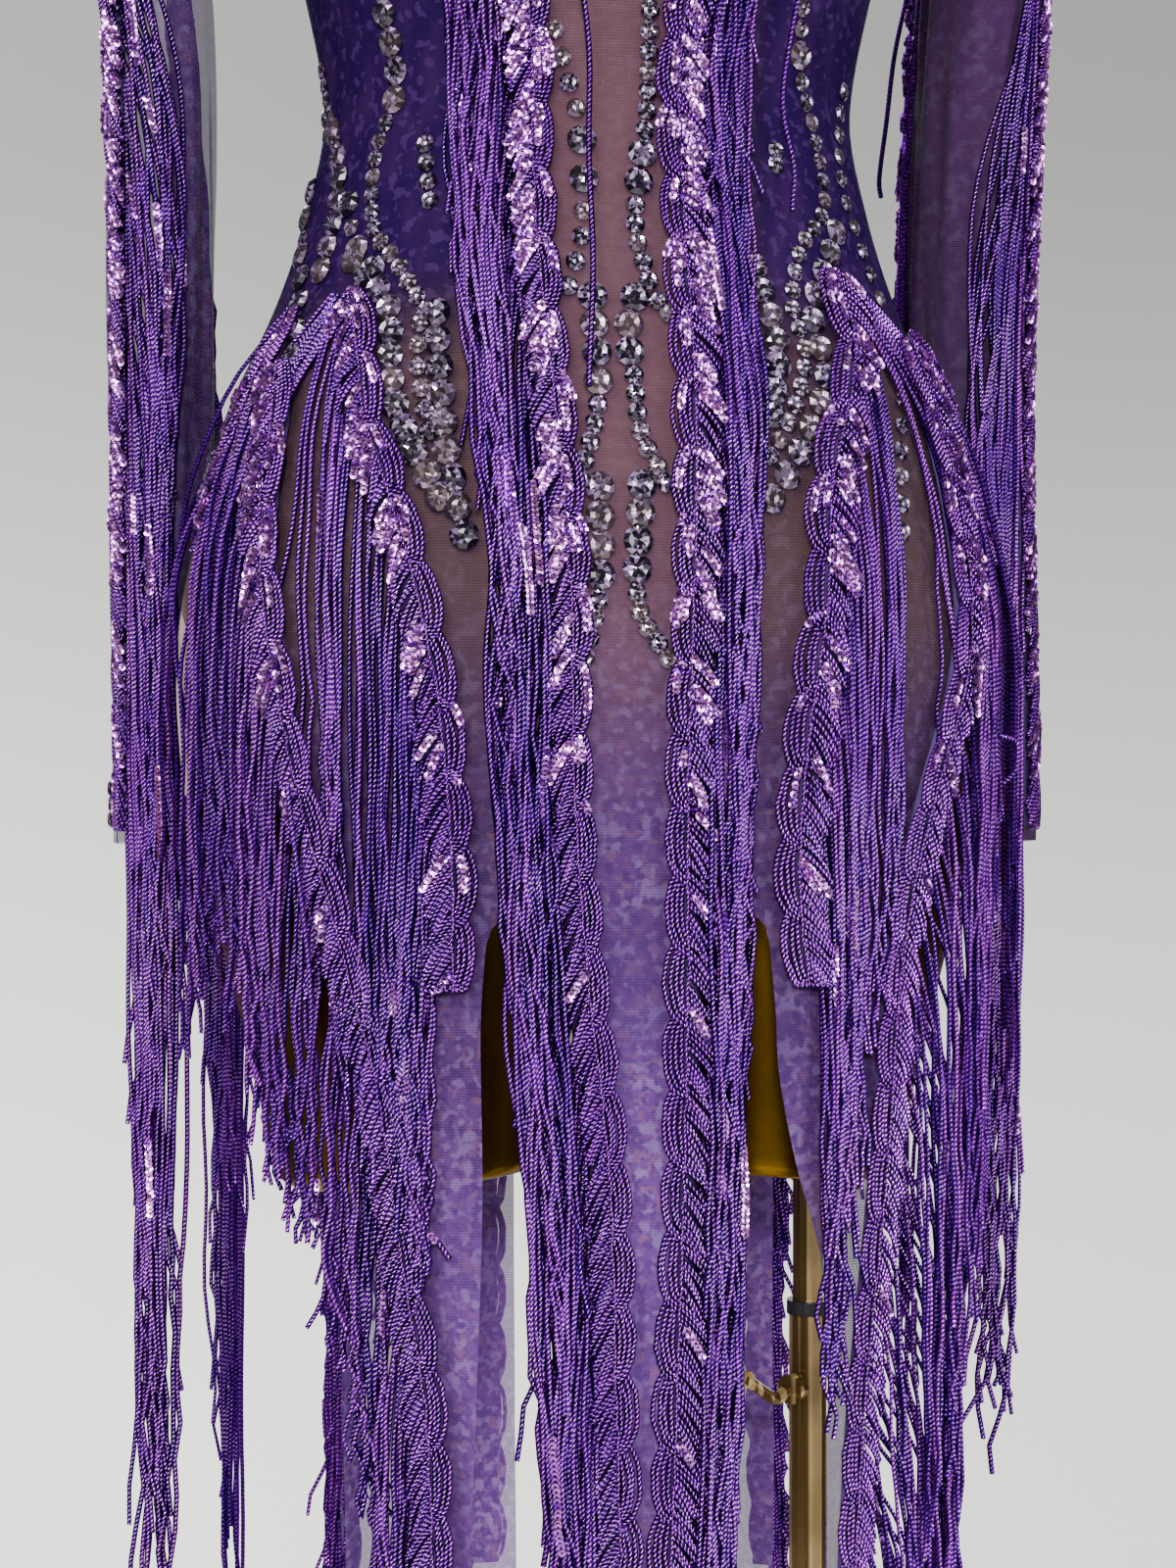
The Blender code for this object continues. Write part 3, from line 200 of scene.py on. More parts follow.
# A line: its surface, the side where its strands hang (1 where the turn grows), its route, how wide its
# braid is to each side, its strands by the height of their roots, how far they follow the line as they
# fall (0 straight down, 1 along it), how many grow from a metre of it and how many more from its top.
Line = namedtuple("Line", "name carrier outward route braid strands follow density crown seed")
StrandRow = namedtuple("StrandRow", "height fan length")    # how far strands drift out, how long they are

# ---------------------------------------------------------------- chains of stones
# The stones of a chain, L large and M middling, are set edge to edge along its knots of (height, turn).
Chain = namedtuple("Chain", "stones knots")
FRONT_CHAINS = tuple(Chain(stones, knots) for stones, *knots in (
    ("MMMMMMMLLMMMMM", (1.089, 4.2), (1.064, 4.3), (1.043, 3.6), (1.004, 1.2), (0.979, 2.8)),
    ("LLLMMMMMMM", (0.972, 0.7), (0.958, -0.2), (0.940, 0.3), (0.917, 1.0), (0.898, 3.8)),
    ("LLLLMMMMM", (0.897, 0.9), (0.864, 0.3), (0.846, 0.7), (0.829, 3.7)),
    ("MM", (0.971, 3.9), (0.966, 5.5)),
    ("MMMMLLMMMM", (1.080, -12.7), (1.041, -7.4), (1.001, -6.8), (0.976, -8.7)),
    ("LLLLMMMMM", (0.972, -5.0), (0.938, -4.0), (0.921, -4.4), (0.899, -6.1)),
    ("LLLLMMMMM", (0.896, -3.7), (0.863, -3.5), (0.850, -3.8), (0.822, -5.7)),
    ("LLLLMMMMMMMMMMMMM", (1.092, -51.5), (1.062, -49.3), (1.037, -52.8), (1.006, -49.4),
     (0.988, -40.8), (0.967, -32.1)),
    ("MMMMMLMLLLLLL", (1.082, -86.0), (1.068, -83.1), (1.040, -68.7), (1.019, -63.4), (0.989, -61.7)),
    ("LLMLLLLL", (1.030, -84.0), (1.012, -80.0), (0.984, -68.3), (0.953, -59.4)),
    ("LMLL", (1.016, -58.5), (0.998, -53.0), (0.986, -46.0)),
    ("LLLLLLLLLLLL", (0.991, -52.1), (0.970, -40.1), (0.941, -35.6), (0.921, -31.7), (0.892, -24.5)),
    ("LLLLLLLLL", (0.966, -30.1), (0.936, -26.6), (0.912, -24.3), (0.877, -20.5)),
    ("MMMMMM", (0.962, -32.6), (0.945, -31.1), (0.918, -27.2)),
    ("MMMM", (1.037, -39.4), (1.013, -36.2)),
    ("MMLMMMMMMMMMMMMMMMMMMMMMM", (1.098, 39.1), (1.073, 41.2), (1.050, 45.2), (1.019, 44.0),
     (0.998, 33.6), (0.973, 28.0), (0.955, 28.2), (0.933, 24.3), (0.910, 18.3)),
    ("MMMMMMMMMM", (1.073, 62.3), (1.032, 53.8), (1.009, 55.3), (0.983, 56.7)),
    ("LLLLLLLLLLLL", (1.008, 45.7), (0.973, 32.6), (0.946, 31.2), (0.923, 26.2), (0.893, 17.9)),
    ("LLLLLLL", (0.988, 21.7), (0.957, 22.9), (0.927, 19.5)),
    ("MM", (1.038, 31.7), (1.032, 31.1)),
    ("MMMMMMMM", (0.959, 54.3), (0.917, 44.5), (0.883, 40.6)),
    ("MMLM", (0.915, -80.9), (0.891, -74.5)),
))
BACK_CHAINS = tuple(Chain(stones, knots) for stones, *knots in (
    ("MMMMMMMLLMMMMMLLLMMMMMMLLLLMMM", (1.090, 6.0), (1.043, 3.6), (1.004, 2.4), (0.950, 3.4),
     (0.905, 2.6), (0.850, 2.0)),
    ("LLLLMMMMMMMMMMMMM", (1.092, 51.5), (1.062, 49.3), (1.037, 52.8), (1.006, 49.4), (0.988, 40.8),
     (0.967, 32.1)),
    ("MMMMMLLMLMM", (1.068, 80.1), (1.040, 68.7), (1.019, 63.4), (0.989, 58.7)),
    ("LLLLLLLLLLLL", (0.991, 52.1), (0.970, 40.1), (0.941, 35.6), (0.921, 31.7), (0.892, 24.5)),
    ("LLLLLLLLL", (0.976, 31.1), (0.936, 25.6), (0.912, 23.3), (0.877, 20.5)),
))
CUFF_STONES = rows_of(RoutePoint, (0.778, -96.0), (0.771, -92.0), (0.764, -97.0))


# ---------------------------------------------------------------- settings
def length_setting(name, description, default, low, high, precision=4):
    return bpy.props.FloatProperty(name=name, description=description, default=default, min=low, max=high,
                                   precision=precision, unit="LENGTH")


def colour_setting(name, description, default):
    return bpy.props.FloatVectorProperty(name=name, description=description, default=default, size=3,
                                         subtype="COLOR", min=0.0, max=1.0)


class DressClothSettings(bpy.types.PropertyGroup):
    """Sizes and colours of the stretch mesh."""
    knit_pitch: length_setting("Knit Pitch", "Height of one row of the knit",
                               0.0011, 0.0004, 0.003, precision=5)
    blotch_size: length_setting("Blotch Size", "Size of one patch of the printed mottle",
                                0.0042, 0.002, 0.02)
    lilac: colour_setting("Lilac", "Main colour of the mottle", (0.095, 0.038, 0.165))
    plum: colour_setting("Plum", "Dark patches of the mottle", (0.066, 0.026, 0.130))
    rose: colour_setting("Rose", "Warm patches of the mottle", (0.135, 0.062, 0.150))
    pale: colour_setting("Pale Blue", "Light patches of the mottle", (0.150, 0.092, 0.245))
    waist: colour_setting("Waist Violet", "Colour of the waist's side panels", (0.008, 0.000, 0.036))


class DressFringeSettings(bpy.types.PropertyGroup):
    """Sizes and colours of the beaded fringe."""
    strand_width: length_setting("Strand Width", "Width of one strand of stacked beads",
                                 0.0023, 0.001, 0.005)
    bead_pitch: length_setting("Bead Pitch", "Length of one turn of the twisted beads",
                               0.0020, 0.001, 0.005)
    lobe_length: length_setting("Lobe Length", "Length of one leaf of the braid",
                                0.028, 0.015, 0.08, precision=3)
    sequin_width: length_setting("Sequin Width", "Width of one flat sequin", 0.0033, 0.002, 0.006)
    # The shade colour is painted shade between the beads and on the strands' sides; the gleam colour is a
    # painted highlight on each bead.
    shade: colour_setting("Shade", "Colour between the beads", (0.014, 0.0, 0.070))
    violet: colour_setting("Violet", "Colour of the deep strands", (0.150, 0.0, 0.480))
    orchid: colour_setting("Orchid", "Colour of the light strands", (0.640, 0.080, 1.0))
    gleam: colour_setting("Gleam", "Colour of the bead's bright side", (1.000, 0.620, 1.000))


class DressStoneSettings(bpy.types.PropertyGroup):
    """Sizes and colours of the stones."""
    large: length_setting("Large Stone", "Diameter of a large stone", 0.0120, 0.004, 0.02)
    middling: length_setting("Middling Stone", "Diameter of a middling stone", 0.0080, 0.003, 0.015)
    # The dark facet colour is near the stones' own smoky colour; the bright facet colour is a painted
    # reflection and glint.
    dark: colour_setting("Dark Facet", "Colour of a stone's dark facets", (0.012, 0.008, 0.020))
    bright: colour_setting("Bright Facet", "Colour of a stone's bright facets", (0.500, 0.350, 0.620))


class DressFormSettings(bpy.types.PropertyGroup):
    """Colours of the form and its stand."""
    jersey: colour_setting("Jersey", "Colour of the form's cover", (0.400, 0.245, 0.150))
    gold: colour_setting("Gold", "Colour of the thigh shells", (0.20, 0.11, 0.008))
    brass: colour_setting("Brass", "Colour of the stand's metal", (1.000, 0.780, 0.300))


class DressStageSettings(bpy.types.PropertyGroup):
    """The camera and what stands round the dress."""
    azimuth: bpy.props.FloatProperty(
        name="Azimuth", description="Angle of the camera round the dress", default=math.radians(-9.0),
        subtype="ANGLE")
    distance: length_setting("Distance", "From the dress's axis to the camera",
                             1.10, 0.3, 5.0, precision=2)
    height: length_setting("Height", "Height of the camera over the floor", 0.78, 0.1, 3.0, precision=2)
    lens: bpy.props.FloatProperty(
        name="Lens", description="Focal length in millimetres on a 36 mm frame", default=58.16,
        min=10.0, max=200.0)
    floor_radius: length_setting("Floor Radius", "Radius of the round pale floor",
                                 1.35, 0.5, 5.0, precision=2)
    backdrop: colour_setting("Backdrop", "Colour of the wall behind", (1.00, 1.00, 0.96))


# ---------------------------------------------------------------- surfaces
def cubic(u, start, end, rise, fall):
    """The curve from start to end at the share u, with the slopes rise and fall at its ends."""
    return (start * (2 * u**3 - 3 * u**2 + 1) + end * (3 * u**2 - 2 * u**3)
            + rise * (u**3 - 2 * u**2 + u) + fall * (u**3 - u**2))


def smooth_value(points, place):
    """The value at a place on the smooth curve through sorted points of (place, value)."""
    if place <= points[0][0]:
        return points[0][1]
    if place >= points[-1][0]:
        return points[-1][1]
    low = max(i for i in range(len(points) - 1) if points[i][0] <= place)

    def slope(i):
        before, after = points[max(i - 1, 0)], points[min(i + 1, len(points) - 1)]
        return (after[1] - before[1]) / (after[0] - before[0])

    span = points[low + 1][0] - points[low][0]
    return cubic((place - points[low][0]) / span, points[low][1], points[low + 1][1],
                 span * slope(low), span * slope(low + 1))


def smooth_column(rows, field, heights):
    """A named column of a table at some heights, on a smooth curve through its rows."""
    points = sorted((row.height, getattr(row, field)) for row in rows)
    return np.array([smooth_value(points, height) for height in heights])


def smooth_knots(knots, axis, count):
    """One coordinate of evenly spread points on a smooth curve through knots."""
    points = [(place, knot[axis]) for place, knot in enumerate(knots)]
    return np.array([smooth_value(points, place) for place in np.linspace(0, len(knots) - 1, count)])


def signed_power(value, power):
    return np.sign(value) * np.abs(value) ** power


def ease(share):
    """Runs smoothly from 0 to 1 while share does."""
    share = np.clip(share, 0, 1)
    return share * share * (3 - 2 * share)


def unit(vectors):
    length = np.linalg.norm(vectors, axis=-1, keepdims=True)
    return vectors / np.maximum(length, 1e-9)


def oval_point(turn, half_width, front, back, height):
    """Points of the rounded oval section that every body ring has, as an array of xyz."""
    across, ahead = np.sin(np.radians(turn)), np.cos(np.radians(turn))
    depth = np.where(ahead > 0, front, back)
    power = 2 / ROUNDNESS
    return np.stack(np.broadcast_arrays(half_width * signed_power(across, power),
                                        -depth * signed_power(ahead, power), height), axis=-1)


PROFILE_HEIGHTS = np.arange(FRINGE_END - 0.01, FORM_RINGS[0].height, PROFILE_STEP)
SIZE_FIELDS = ("half_width", "front", "back")


def dress_profile():
    """Half width, front and back of the dress's outer face, at every profile height."""
    form = [smooth_column(FORM_RINGS, field, PROFILE_HEIGHTS) for field in SIZE_FIELDS]
    lower = [smooth_column(FORM_RINGS, field, PROFILE_HEIGHTS - CLOTH_RISE) for field in SIZE_FIELDS]
    hang = [smooth_column(HANG_RINGS, field, PROFILE_HEIGHTS) for field in SIZE_FIELDS]
    return [np.where(PROFILE_HEIGHTS < HIP_HEIGHT, free, np.maximum(on, under) + CLOTH_LIFT)
            for on, under, free in zip(form, lower, hang)]


DRESS_PROFILE = dress_profile()


class Surface:
    """What lines of fringe and stones lie on. facing is 1 where the turn grows counterclockwise."""
    facing = 1

    def forward(self, points):
        """The level direction in which the turn grows."""
        return self.facing * np.cross((0, 0, 1), self.outward(points))

    def metres_per_degree(self, turn, height):
        step = self.point(turn + 0.5, height) - self.point(turn - 0.5, height)
        return np.linalg.norm(step, axis=-1)


class BodySurface(Surface):
    """The outer face of the dress's front (facing 1) or back (facing -1)."""
    closeness = 1.0
    hold = 0.9                  # of strands to it above the hips, 1 for all the way

    def __init__(self, facing):
        self.facing = facing

    def sizes(self, height):
        return [np.interp(height, PROFILE_HEIGHTS, column) for column in DRESS_PROFILE]

    def point(self, turn, height):
        angle = turn if self.facing > 0 else 180 - np.asarray(turn)
        return oval_point(angle, *self.sizes(height), height)

    def level_set(self, points):
        """Gradient and value of the body's oval: the value is 1 on the face."""
        half_width, front, back = self.sizes(points[..., 2])
        depth = np.where(points[..., 1] < 0, front, back)
        across, ahead = np.abs(points[..., 0]) / half_width, np.abs(points[..., 1]) / depth
        gradient = ROUNDNESS * np.stack(
            (np.sign(points[..., 0]) * across ** (ROUNDNESS - 1) / half_width,
             np.sign(points[..., 1]) * ahead ** (ROUNDNESS - 1) / depth,
             np.zeros_like(across)), axis=-1)
        return gradient, across**ROUNDNESS + ahead**ROUNDNESS

    def outward(self, points):
        return unit(self.level_set(points)[0])

    def settle(self, points, hold):
        """Pushes points inside the face out to it. hold, from 0 to 1, also pulls those outside in."""
        for _ in range(3):
            gradient, value = self.level_set(points)
            step = (1 - value) / np.maximum((gradient**2).sum(axis=-1), 1e-9)
            step = np.where(value < 1, step, step * hold)
            points = points + gradient * step[..., None]
        return points


class SleeveSurface(Surface):
    """The outer face of a sleeve, side -1 at -X and 1 at +X. A turn goes round it from its front."""
    closeness = 0.55            # of strands to their surface, as a share of their lift elsewhere
    hold = 0.0

    def __init__(self, side, rows):
        self.side = side
        self.rows = rows
        self.columns = dict(zip(SleeveRow._fields, np.array(rows).T))
        self.heights = (self.columns["inner_z"] + self.columns["outer_z"]) / 2
        self.cuff = rows[-1].outer_z

    def read(self, field, level):
        """A column of the table at a fractional row, on a smooth curve through its rows."""
        column = self.columns[field]
        low = np.clip(np.floor(level).astype(int), 0, len(column) - 2)
        u = level - low
        before, after = column[np.maximum(low - 1, 0)], column[np.minimum(low + 2, len(column) - 1)]
        start, end = column[low], column[low + 1]
        return cubic(u, start, end, (end - before) / 2, (after - start) / 2)

    def section(self, turn, level):
        """Points of the sleeve's section at a fractional row of its table, with its soft folds."""
        inner_x, inner_z, outer_x, outer_z, middle_y, half_depth = (
            self.read(field, level) for field in SleeveRow._fields)
        middle_z = (inner_z + outer_z) / 2
        fold_top = self.rows[FOLD_START].outer_z
        share = np.clip((fold_top - middle_z) / (fold_top - self.cuff), 0, 1)
        size = 1 + FOLD_DEPTH * share * np.cos(np.radians(SLEEVE_FOLDS * turn + FOLD_TWIST * share))
        across, ahead = np.sin(np.radians(turn)), np.cos(np.radians(turn))
        return np.stack(np.broadcast_arrays(
            self.side * (inner_x + outer_x) / 2 + (outer_x - inner_x) / 2 * across * size,
            middle_y - half_depth * ahead * size,
            middle_z + self.side * (outer_z - inner_z) / 2 * across * size), axis=-1)

    def level(self, height):
        return np.interp(-np.asarray(height), -self.heights, np.arange(len(self.rows)))

    def point(self, turn, height):
        points = self.section(turn, self.level(height))
        points[..., 2] = height
        return points

    def middle(self, height):
        level = self.level(height)
        return np.stack(np.broadcast_arrays(
            self.side * (self.read("inner_x", level) + self.read("outer_x", level)) / 2,
            self.read("middle_y", level), height), axis=-1)

    def outward(self, points):
        away = points - self.middle(points[..., 2])
        away[..., 2] = 0
        return unit(away)

    def settle(self, points, hold):
        """Keeps points on or outside the sleeve above its cuff."""
        middle = self.middle(points[..., 2])
        away = points - middle
        turn = np.degrees(np.arctan2(away[..., 0], -away[..., 1]))
        face = self.point(turn, points[..., 2]) - middle
        radius, wanted = np.linalg.norm(away[..., :2], axis=-1), np.linalg.norm(face[..., :2], axis=-1)
        outside = radius >= wanted
        free = points[..., 2] < self.cuff
        share = np.where(free, 0, np.where(outside, hold, 1))
        scale = 1 + share * (wanted / np.maximum(radius, 1e-6) - 1)
        return middle + away * np.stack((scale, scale, np.ones_like(scale)), axis=-1)


FRONT, BACK = BodySurface(1), BodySurface(-1)
LEFT_ARM, RIGHT_ARM = SleeveSurface(-1, LEFT_SLEEVE), SleeveSurface(1, RIGHT_SLEEVE)


def mirrored(route):
    return [RoutePoint(height, -turn) for height, turn in route]


CENTRE_STRANDS = rows_of(StrandRow,
    (1.330, 0.028, 0.262), (1.090, 0.028, 0.262), (0.970, 0.028, 0.262), (0.860, 0.025, 0.262),
    (0.740, 0.030, 0.255), (0.660, 0.024, 0.255), (0.600, 0.014, 0.255), (0.410, 0.010, 0.255),
)
CENTRE_RIGHT_STRANDS = rows_of(StrandRow,
    (1.330, 0.021, 0.262), (1.090, 0.021, 0.262), (0.935, 0.017, 0.262), (0.857, 0.014, 0.262),
    (0.700, 0.016, 0.255), (0.550, 0.019, 0.255), (0.410, 0.022, 0.255),
)
HIP_LEFT_STRANDS = rows_of(StrandRow,
    (0.980, 0.005, 0.262), (0.900, 0.005, 0.250), (0.850, 0.006, 0.220), (0.780, 0.011, 0.180),
    (0.700, 0.010, 0.130),
)
HIP_RIGHT_STRANDS = rows_of(StrandRow,
    (0.990, 0.005, 0.262), (0.860, 0.006, 0.250), (0.780, 0.009, 0.235), (0.700, 0.010, 0.200),
)
EDGE_LEFT_STRANDS = rows_of(StrandRow,
    (0.974, 0.012, 0.225), (0.850, 0.010, 0.195), (0.780, 0.008, 0.165), (0.700, 0.008, 0.140),
    (0.620, 0.007, 0.145), (0.550, 0.004, 0.190), (0.410, 0.002, 0.200),
)
EDGE_RIGHT_STRANDS = rows_of(StrandRow,
    (0.974, 0.014, 0.240), (0.850, 0.016, 0.250), (0.740, 0.034, 0.270), (0.640, 0.052, 0.255),
    (0.500, 0.058, 0.220), (0.410, 0.046, 0.200),
)
BACK_EDGE_STRANDS = rows_of(StrandRow, (0.800, 0.006, 0.215), (0.410, 0.003, 0.200))
SIDE_LEFT_STRANDS = rows_of(StrandRow, (0.985, -0.003, 0.240), (0.875, -0.004, 0.225))
SIDE_RIGHT_STRANDS = rows_of(StrandRow, (0.985, 0.010, 0.240), (0.875, 0.008, 0.225))
SLEEVE_LEFT_STRANDS = rows_of(StrandRow,
    (1.165, 0.038, 0.260), (1.080, 0.038, 0.230), (1.020, 0.028, 0.300), (0.880, 0.027, 0.360),
    (0.760, 0.036, 0.410),
)
SLEEVE_RIGHT_STRANDS = rows_of(StrandRow, (1.165, 0.028, 0.330), (0.760, 0.028, 0.310))
CUFF_LEFT_STRANDS = rows_of(StrandRow,
    (1.165, 0.003, 0.230), (1.020, 0.004, 0.280), (0.950, 0.016, 0.300), (0.860, 0.030, 0.360),
    (0.760, 0.042, 0.400),
)
CUFF_RIGHT_STRANDS = rows_of(StrandRow,
    (1.165, 0.003, 0.230), (0.880, 0.010, 0.290), (0.760, 0.030, 0.270),
)
FRONT_LINES = rows_of(Line,
    ("front_centre_left", FRONT, -1, CENTRE_LEFT, 0.0098, CENTRE_STRANDS, 1.0, 230, 0, 1),
    ("front_centre_right", FRONT, 1, CENTRE_RIGHT, 0.0108, CENTRE_RIGHT_STRANDS, 1.0, 200, 0, 2),
    ("front_hip_left", FRONT, -1, HIP_LEFT, 0.0108, HIP_LEFT_STRANDS, 0.1, 240, 30, 3),
    ("front_hip_right", FRONT, 1, HIP_RIGHT, 0.0125, HIP_RIGHT_STRANDS, 0.1, 240, 36, 4),
    ("front_edge_left", FRONT, -1, EDGE_LEFT, 0.0090, EDGE_LEFT_STRANDS, 0.15, 240, 2, 5),
    ("front_edge_right", FRONT, 1, EDGE_RIGHT, 0.0095, EDGE_RIGHT_STRANDS, 0.15, 250, 2, 6),
    ("side_left", FRONT, -1, SIDE_LEFT, 0.0070, SIDE_LEFT_STRANDS, 0.0, 250, 1, 7),
    ("side_right", FRONT, 1, SIDE_RIGHT, 0.0070, SIDE_RIGHT_STRANDS, 0.0, 250, 1, 8),
)
SLEEVE_LINES = rows_of(Line,
    ("sleeve_left_front", LEFT_ARM, 1, mirrored(SLEEVE_FRONT), 0.0080, SLEEVE_LEFT_STRANDS, 1.0,
     220, 0, 15),
    ("sleeve_left_back", LEFT_ARM, -1, SLEEVE_LEFT_BACK, 0.0060, CUFF_LEFT_STRANDS, 0.15, 230, 0, 16),
    ("sleeve_right_front", RIGHT_ARM, -1, SLEEVE_FRONT, 0.0080, SLEEVE_RIGHT_STRANDS, 1.0, 210, 0, 17),
    ("sleeve_right_back", RIGHT_ARM, 1, mirrored(SLEEVE_BACK), 0.0060, CUFF_RIGHT_STRANDS, 1.0,
     130, 0, 18),
)


def back_pair(name, route, *looks, seed):
    """A line on each side of the back, alike but for the draws of their strands."""
    return (Line(name + "_left", BACK, -1, mirrored(route), *looks, seed),
            Line(name + "_right", BACK, 1, route, *looks, seed + 1))


BACK_LINES = (
    *back_pair("back_centre", BACK_CENTRE, 0.0100, CENTRE_STRANDS, 1.0, 200, 0, seed=9),
    *back_pair("back_hip", BACK_HIP, 0.0095, HIP_RIGHT_STRANDS, 0.1, 230, 10, seed=11),
    *back_pair("back_edge", BACK_EDGE, 0.0070, BACK_EDGE_STRANDS, 0.8, 220, 6, seed=13),
)
LINES = FRONT_LINES + BACK_LINES + SLEEVE_LINES


# ---------------------------------------------------------------- objects
def link(item):
    bpy.context.scene.collection.objects.link(item)
    return item


def finish_piece(item, slot, *nodes):
    """Puts a finished piece on the frame, in place of CAD nodes where they are given."""
    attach(item, BODY)
    if nodes:
        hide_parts(*nodes)


def mesh_object(name, points, faces, materials, smooth=True):
    mesh = bpy.data.meshes.new(name)
    mesh.from_pydata(np.asarray(points).reshape(-1, 3).tolist(), [], [list(face) for face in faces])
    for material in materials:
        mesh.materials.append(material)
    mesh.polygons.foreach_set("use_smooth", np.full(len(mesh.polygons), smooth))
    mesh.update()
    return link(bpy.data.objects.new(name, mesh))


def add_tones(mesh, domain, colours):
    """The attribute that the materials of beads, sequins and stones read."""
    mesh.attributes.new("tone", "FLOAT_COLOR", domain).data.foreach_set("color", colours.ravel())


class Tubes:
    """Collects four-sided tubes for one mesh, with their lengths in a UV map and a tone for each."""

    def __init__(self):
        self.points, self.faces, self.uvs, self.tones, self.slots = [], [], [], [], []
        self.count = 0

    def add(self, path, away, width, thick, tone, slot=0):
        """path and away are (tubes, stations, 3), tone is (tubes,). width and thick are numbers or
        arrays that spread to (tubes, stations)."""
        tubes, stations, _ = path.shape
        tangent = unit(np.gradient(path, axis=1))
        side = unit(np.cross(tangent, away))
        front = np.cross(side, tangent)
        width = np.broadcast_to(width, (tubes, stations))[..., None] / 2
        thick = np.broadcast_to(thick, (tubes, stations))[..., None] / 2
        corners = np.stack((path + side * width, path + front * thick,
                            path - side * width, path - front * thick), axis=2)
        index = self.count + np.arange(tubes * stations * 4).reshape(tubes, stations, 4)
        following = np.roll(index, -1, axis=2)
        walls = np.stack((index[:, :-1], index[:, 1:], following[:, 1:], following[:, :-1]), axis=-1)
        length = np.zeros((tubes, stations))
        length[:, 1:] = np.cumsum(np.linalg.norm(np.diff(path, axis=1), axis=-1), axis=1)
        u = np.broadcast_to(np.arange(4) / 4, (tubes, stations - 1, 4))
        v0, v1 = (np.broadcast_to(part[..., None], u.shape) for part in (length[:, :-1], length[:, 1:]))
        wall_uvs = np.stack((np.stack((u, v0), -1), np.stack((u, v1), -1),
                             np.stack((u + 0.25, v1), -1), np.stack((u + 0.25, v0), -1)), axis=-2)
        caps = np.concatenate((index[:, 0, :], index[:, -1, ::-1]))
        cap_uvs = np.zeros((2 * tubes, 4, 2))
        self.points.append(corners.reshape(-1, 3))
        self.faces += [walls.reshape(-1, 4), caps]
        self.uvs += [wall_uvs.reshape(-1, 2), cap_uvs.reshape(-1, 2)]
        self.slots.append(np.full(walls.size // 4 + len(caps), slot))
        share = np.broadcast_to(np.linspace(0, 1, stations), (tubes, stations))
        colour = np.stack(np.broadcast_arrays(tone[:, None], share, 0.0, 1.0), axis=-1)
        self.tones.append(np.repeat(colour[:, :, None, :], 4, axis=2).reshape(-1, 4))
        self.count += tubes * stations * 4

    def build(self, name, materials):
        item = mesh_object(name, np.concatenate(self.points), np.concatenate(self.faces), materials)
        mesh = item.data
        mesh.polygons.foreach_set("material_index", np.concatenate(self.slots))
        layer = mesh.uv_layers.new(name="strand")
        layer.data.foreach_set("uv", np.concatenate(self.uvs).ravel())
        add_tones(mesh, "POINT", np.concatenate(self.tones))
        return item


# ---------------------------------------------------------------- materials
# Fixed colours, beside those of the settings.
BEAD_TINT, SEQUIN_TINT = (0.45, 0.06, 0.75, 1.0), (0.80, 0.50, 0.95, 1.0)
SEQUIN_DEEP, SEQUIN_PALE, SEQUIN_HOLE = (0.16, 0.01, 0.40), (1.0, 0.42, 1.0), (0.02, 0.0, 0.05)
STONE_WARM = (0.24, 0.17, 0.15)
WAIST_STREAK, WAIST_FLECK = (0.030, 0.008, 0.055), (0.060, 0.024, 0.120)
HIP_DARK, HIP_FLECK, HIP_SIDE = (0.016, 0.005, 0.018), (0.060, 0.028, 0.075), (0.068, 0.026, 0.042)
SLEEVE_MAIN, SLEEVE_WARM = (0.090, 0.050, 0.150, 1), (0.12, 0.05, 0.13, 1)
SLEEVE_LIGHT, SLEEVE_DARK = (0.15, 0.11, 0.24, 1), (0.026, 0.004, 0.034)
# The brass shade colour is also the dark of the painted reflection stripes on the pole.
JERSEY_SHADE, GOLD_SHADE, BRASS_SHADE = (0.30, 0.17, 0.10), (0.15, 0.080, 0.005), (0.09, 0.05, 0.01)
PLATE, PLATE_SHADE = (0.62, 0.48, 0.22), (0.42, 0.31, 0.13)
RUBBER, RUBBER_SHADE = (0.004, 0.004, 0.004), (0.008, 0.008, 0.008)
TAPE, TAPE_SHADE = (0.045, 0.016, 0.12), (0.02, 0.008, 0.06)
FLOOR, FLOOR_SHADE = (0.72, 0.72, 0.70), (0.66, 0.66, 0.65)
BEAD_SLANT = 1.4            # how far a bead runs along its strand while it crosses it, in beads
TONE_SHIFT = 37.0           # beads by which strands of different tones are shifted
KNIT_BUMP = 0.00012
# The dress's mesh changes over these heights, and over these distances from its middle plane.
WAIST_SIDES, BELT_TOP, BUST_FOOT = (0.036, 0.066), (0.945, 0.995), (1.20, 1.14)
# Below the lower of the skirt heights the hanging strips are brightened as painted light from behind,
# above the upper one darkened.
DENSE_BELOW, HIP_SHADE, SKIRT_BACKLIGHT = (0.86, 0.78), (0.72, 0.90), (0.58, 0.74)


def feed(tree, socket, value):
    """Gives a socket a plain value or another node's output."""
    if isinstance(value, bpy.types.NodeSocket):
        tree.links.new(value, socket)
    else:
        socket.default_value = value


def connect(tree, sockets, **values):
    """Feeds sockets by name, with _ for a space."""
    for name, value in values.items():
        feed(tree, sockets[name.replace("_", " ")], value)


def add_node(tree, kind, inputs=None, **settings):
    """A node with its settings and its inputs."""
    item = tree.nodes.new(kind)
    for name, value in settings.items():
        setattr(item, name, value)
    for key, value in (inputs or {}).items():
        feed(tree, item.inputs[key], value)
    return item


def maths(tree, operation, *values):
    return add_node(tree, "ShaderNodeMath", dict(enumerate(values)), operation=operation).outputs[0]


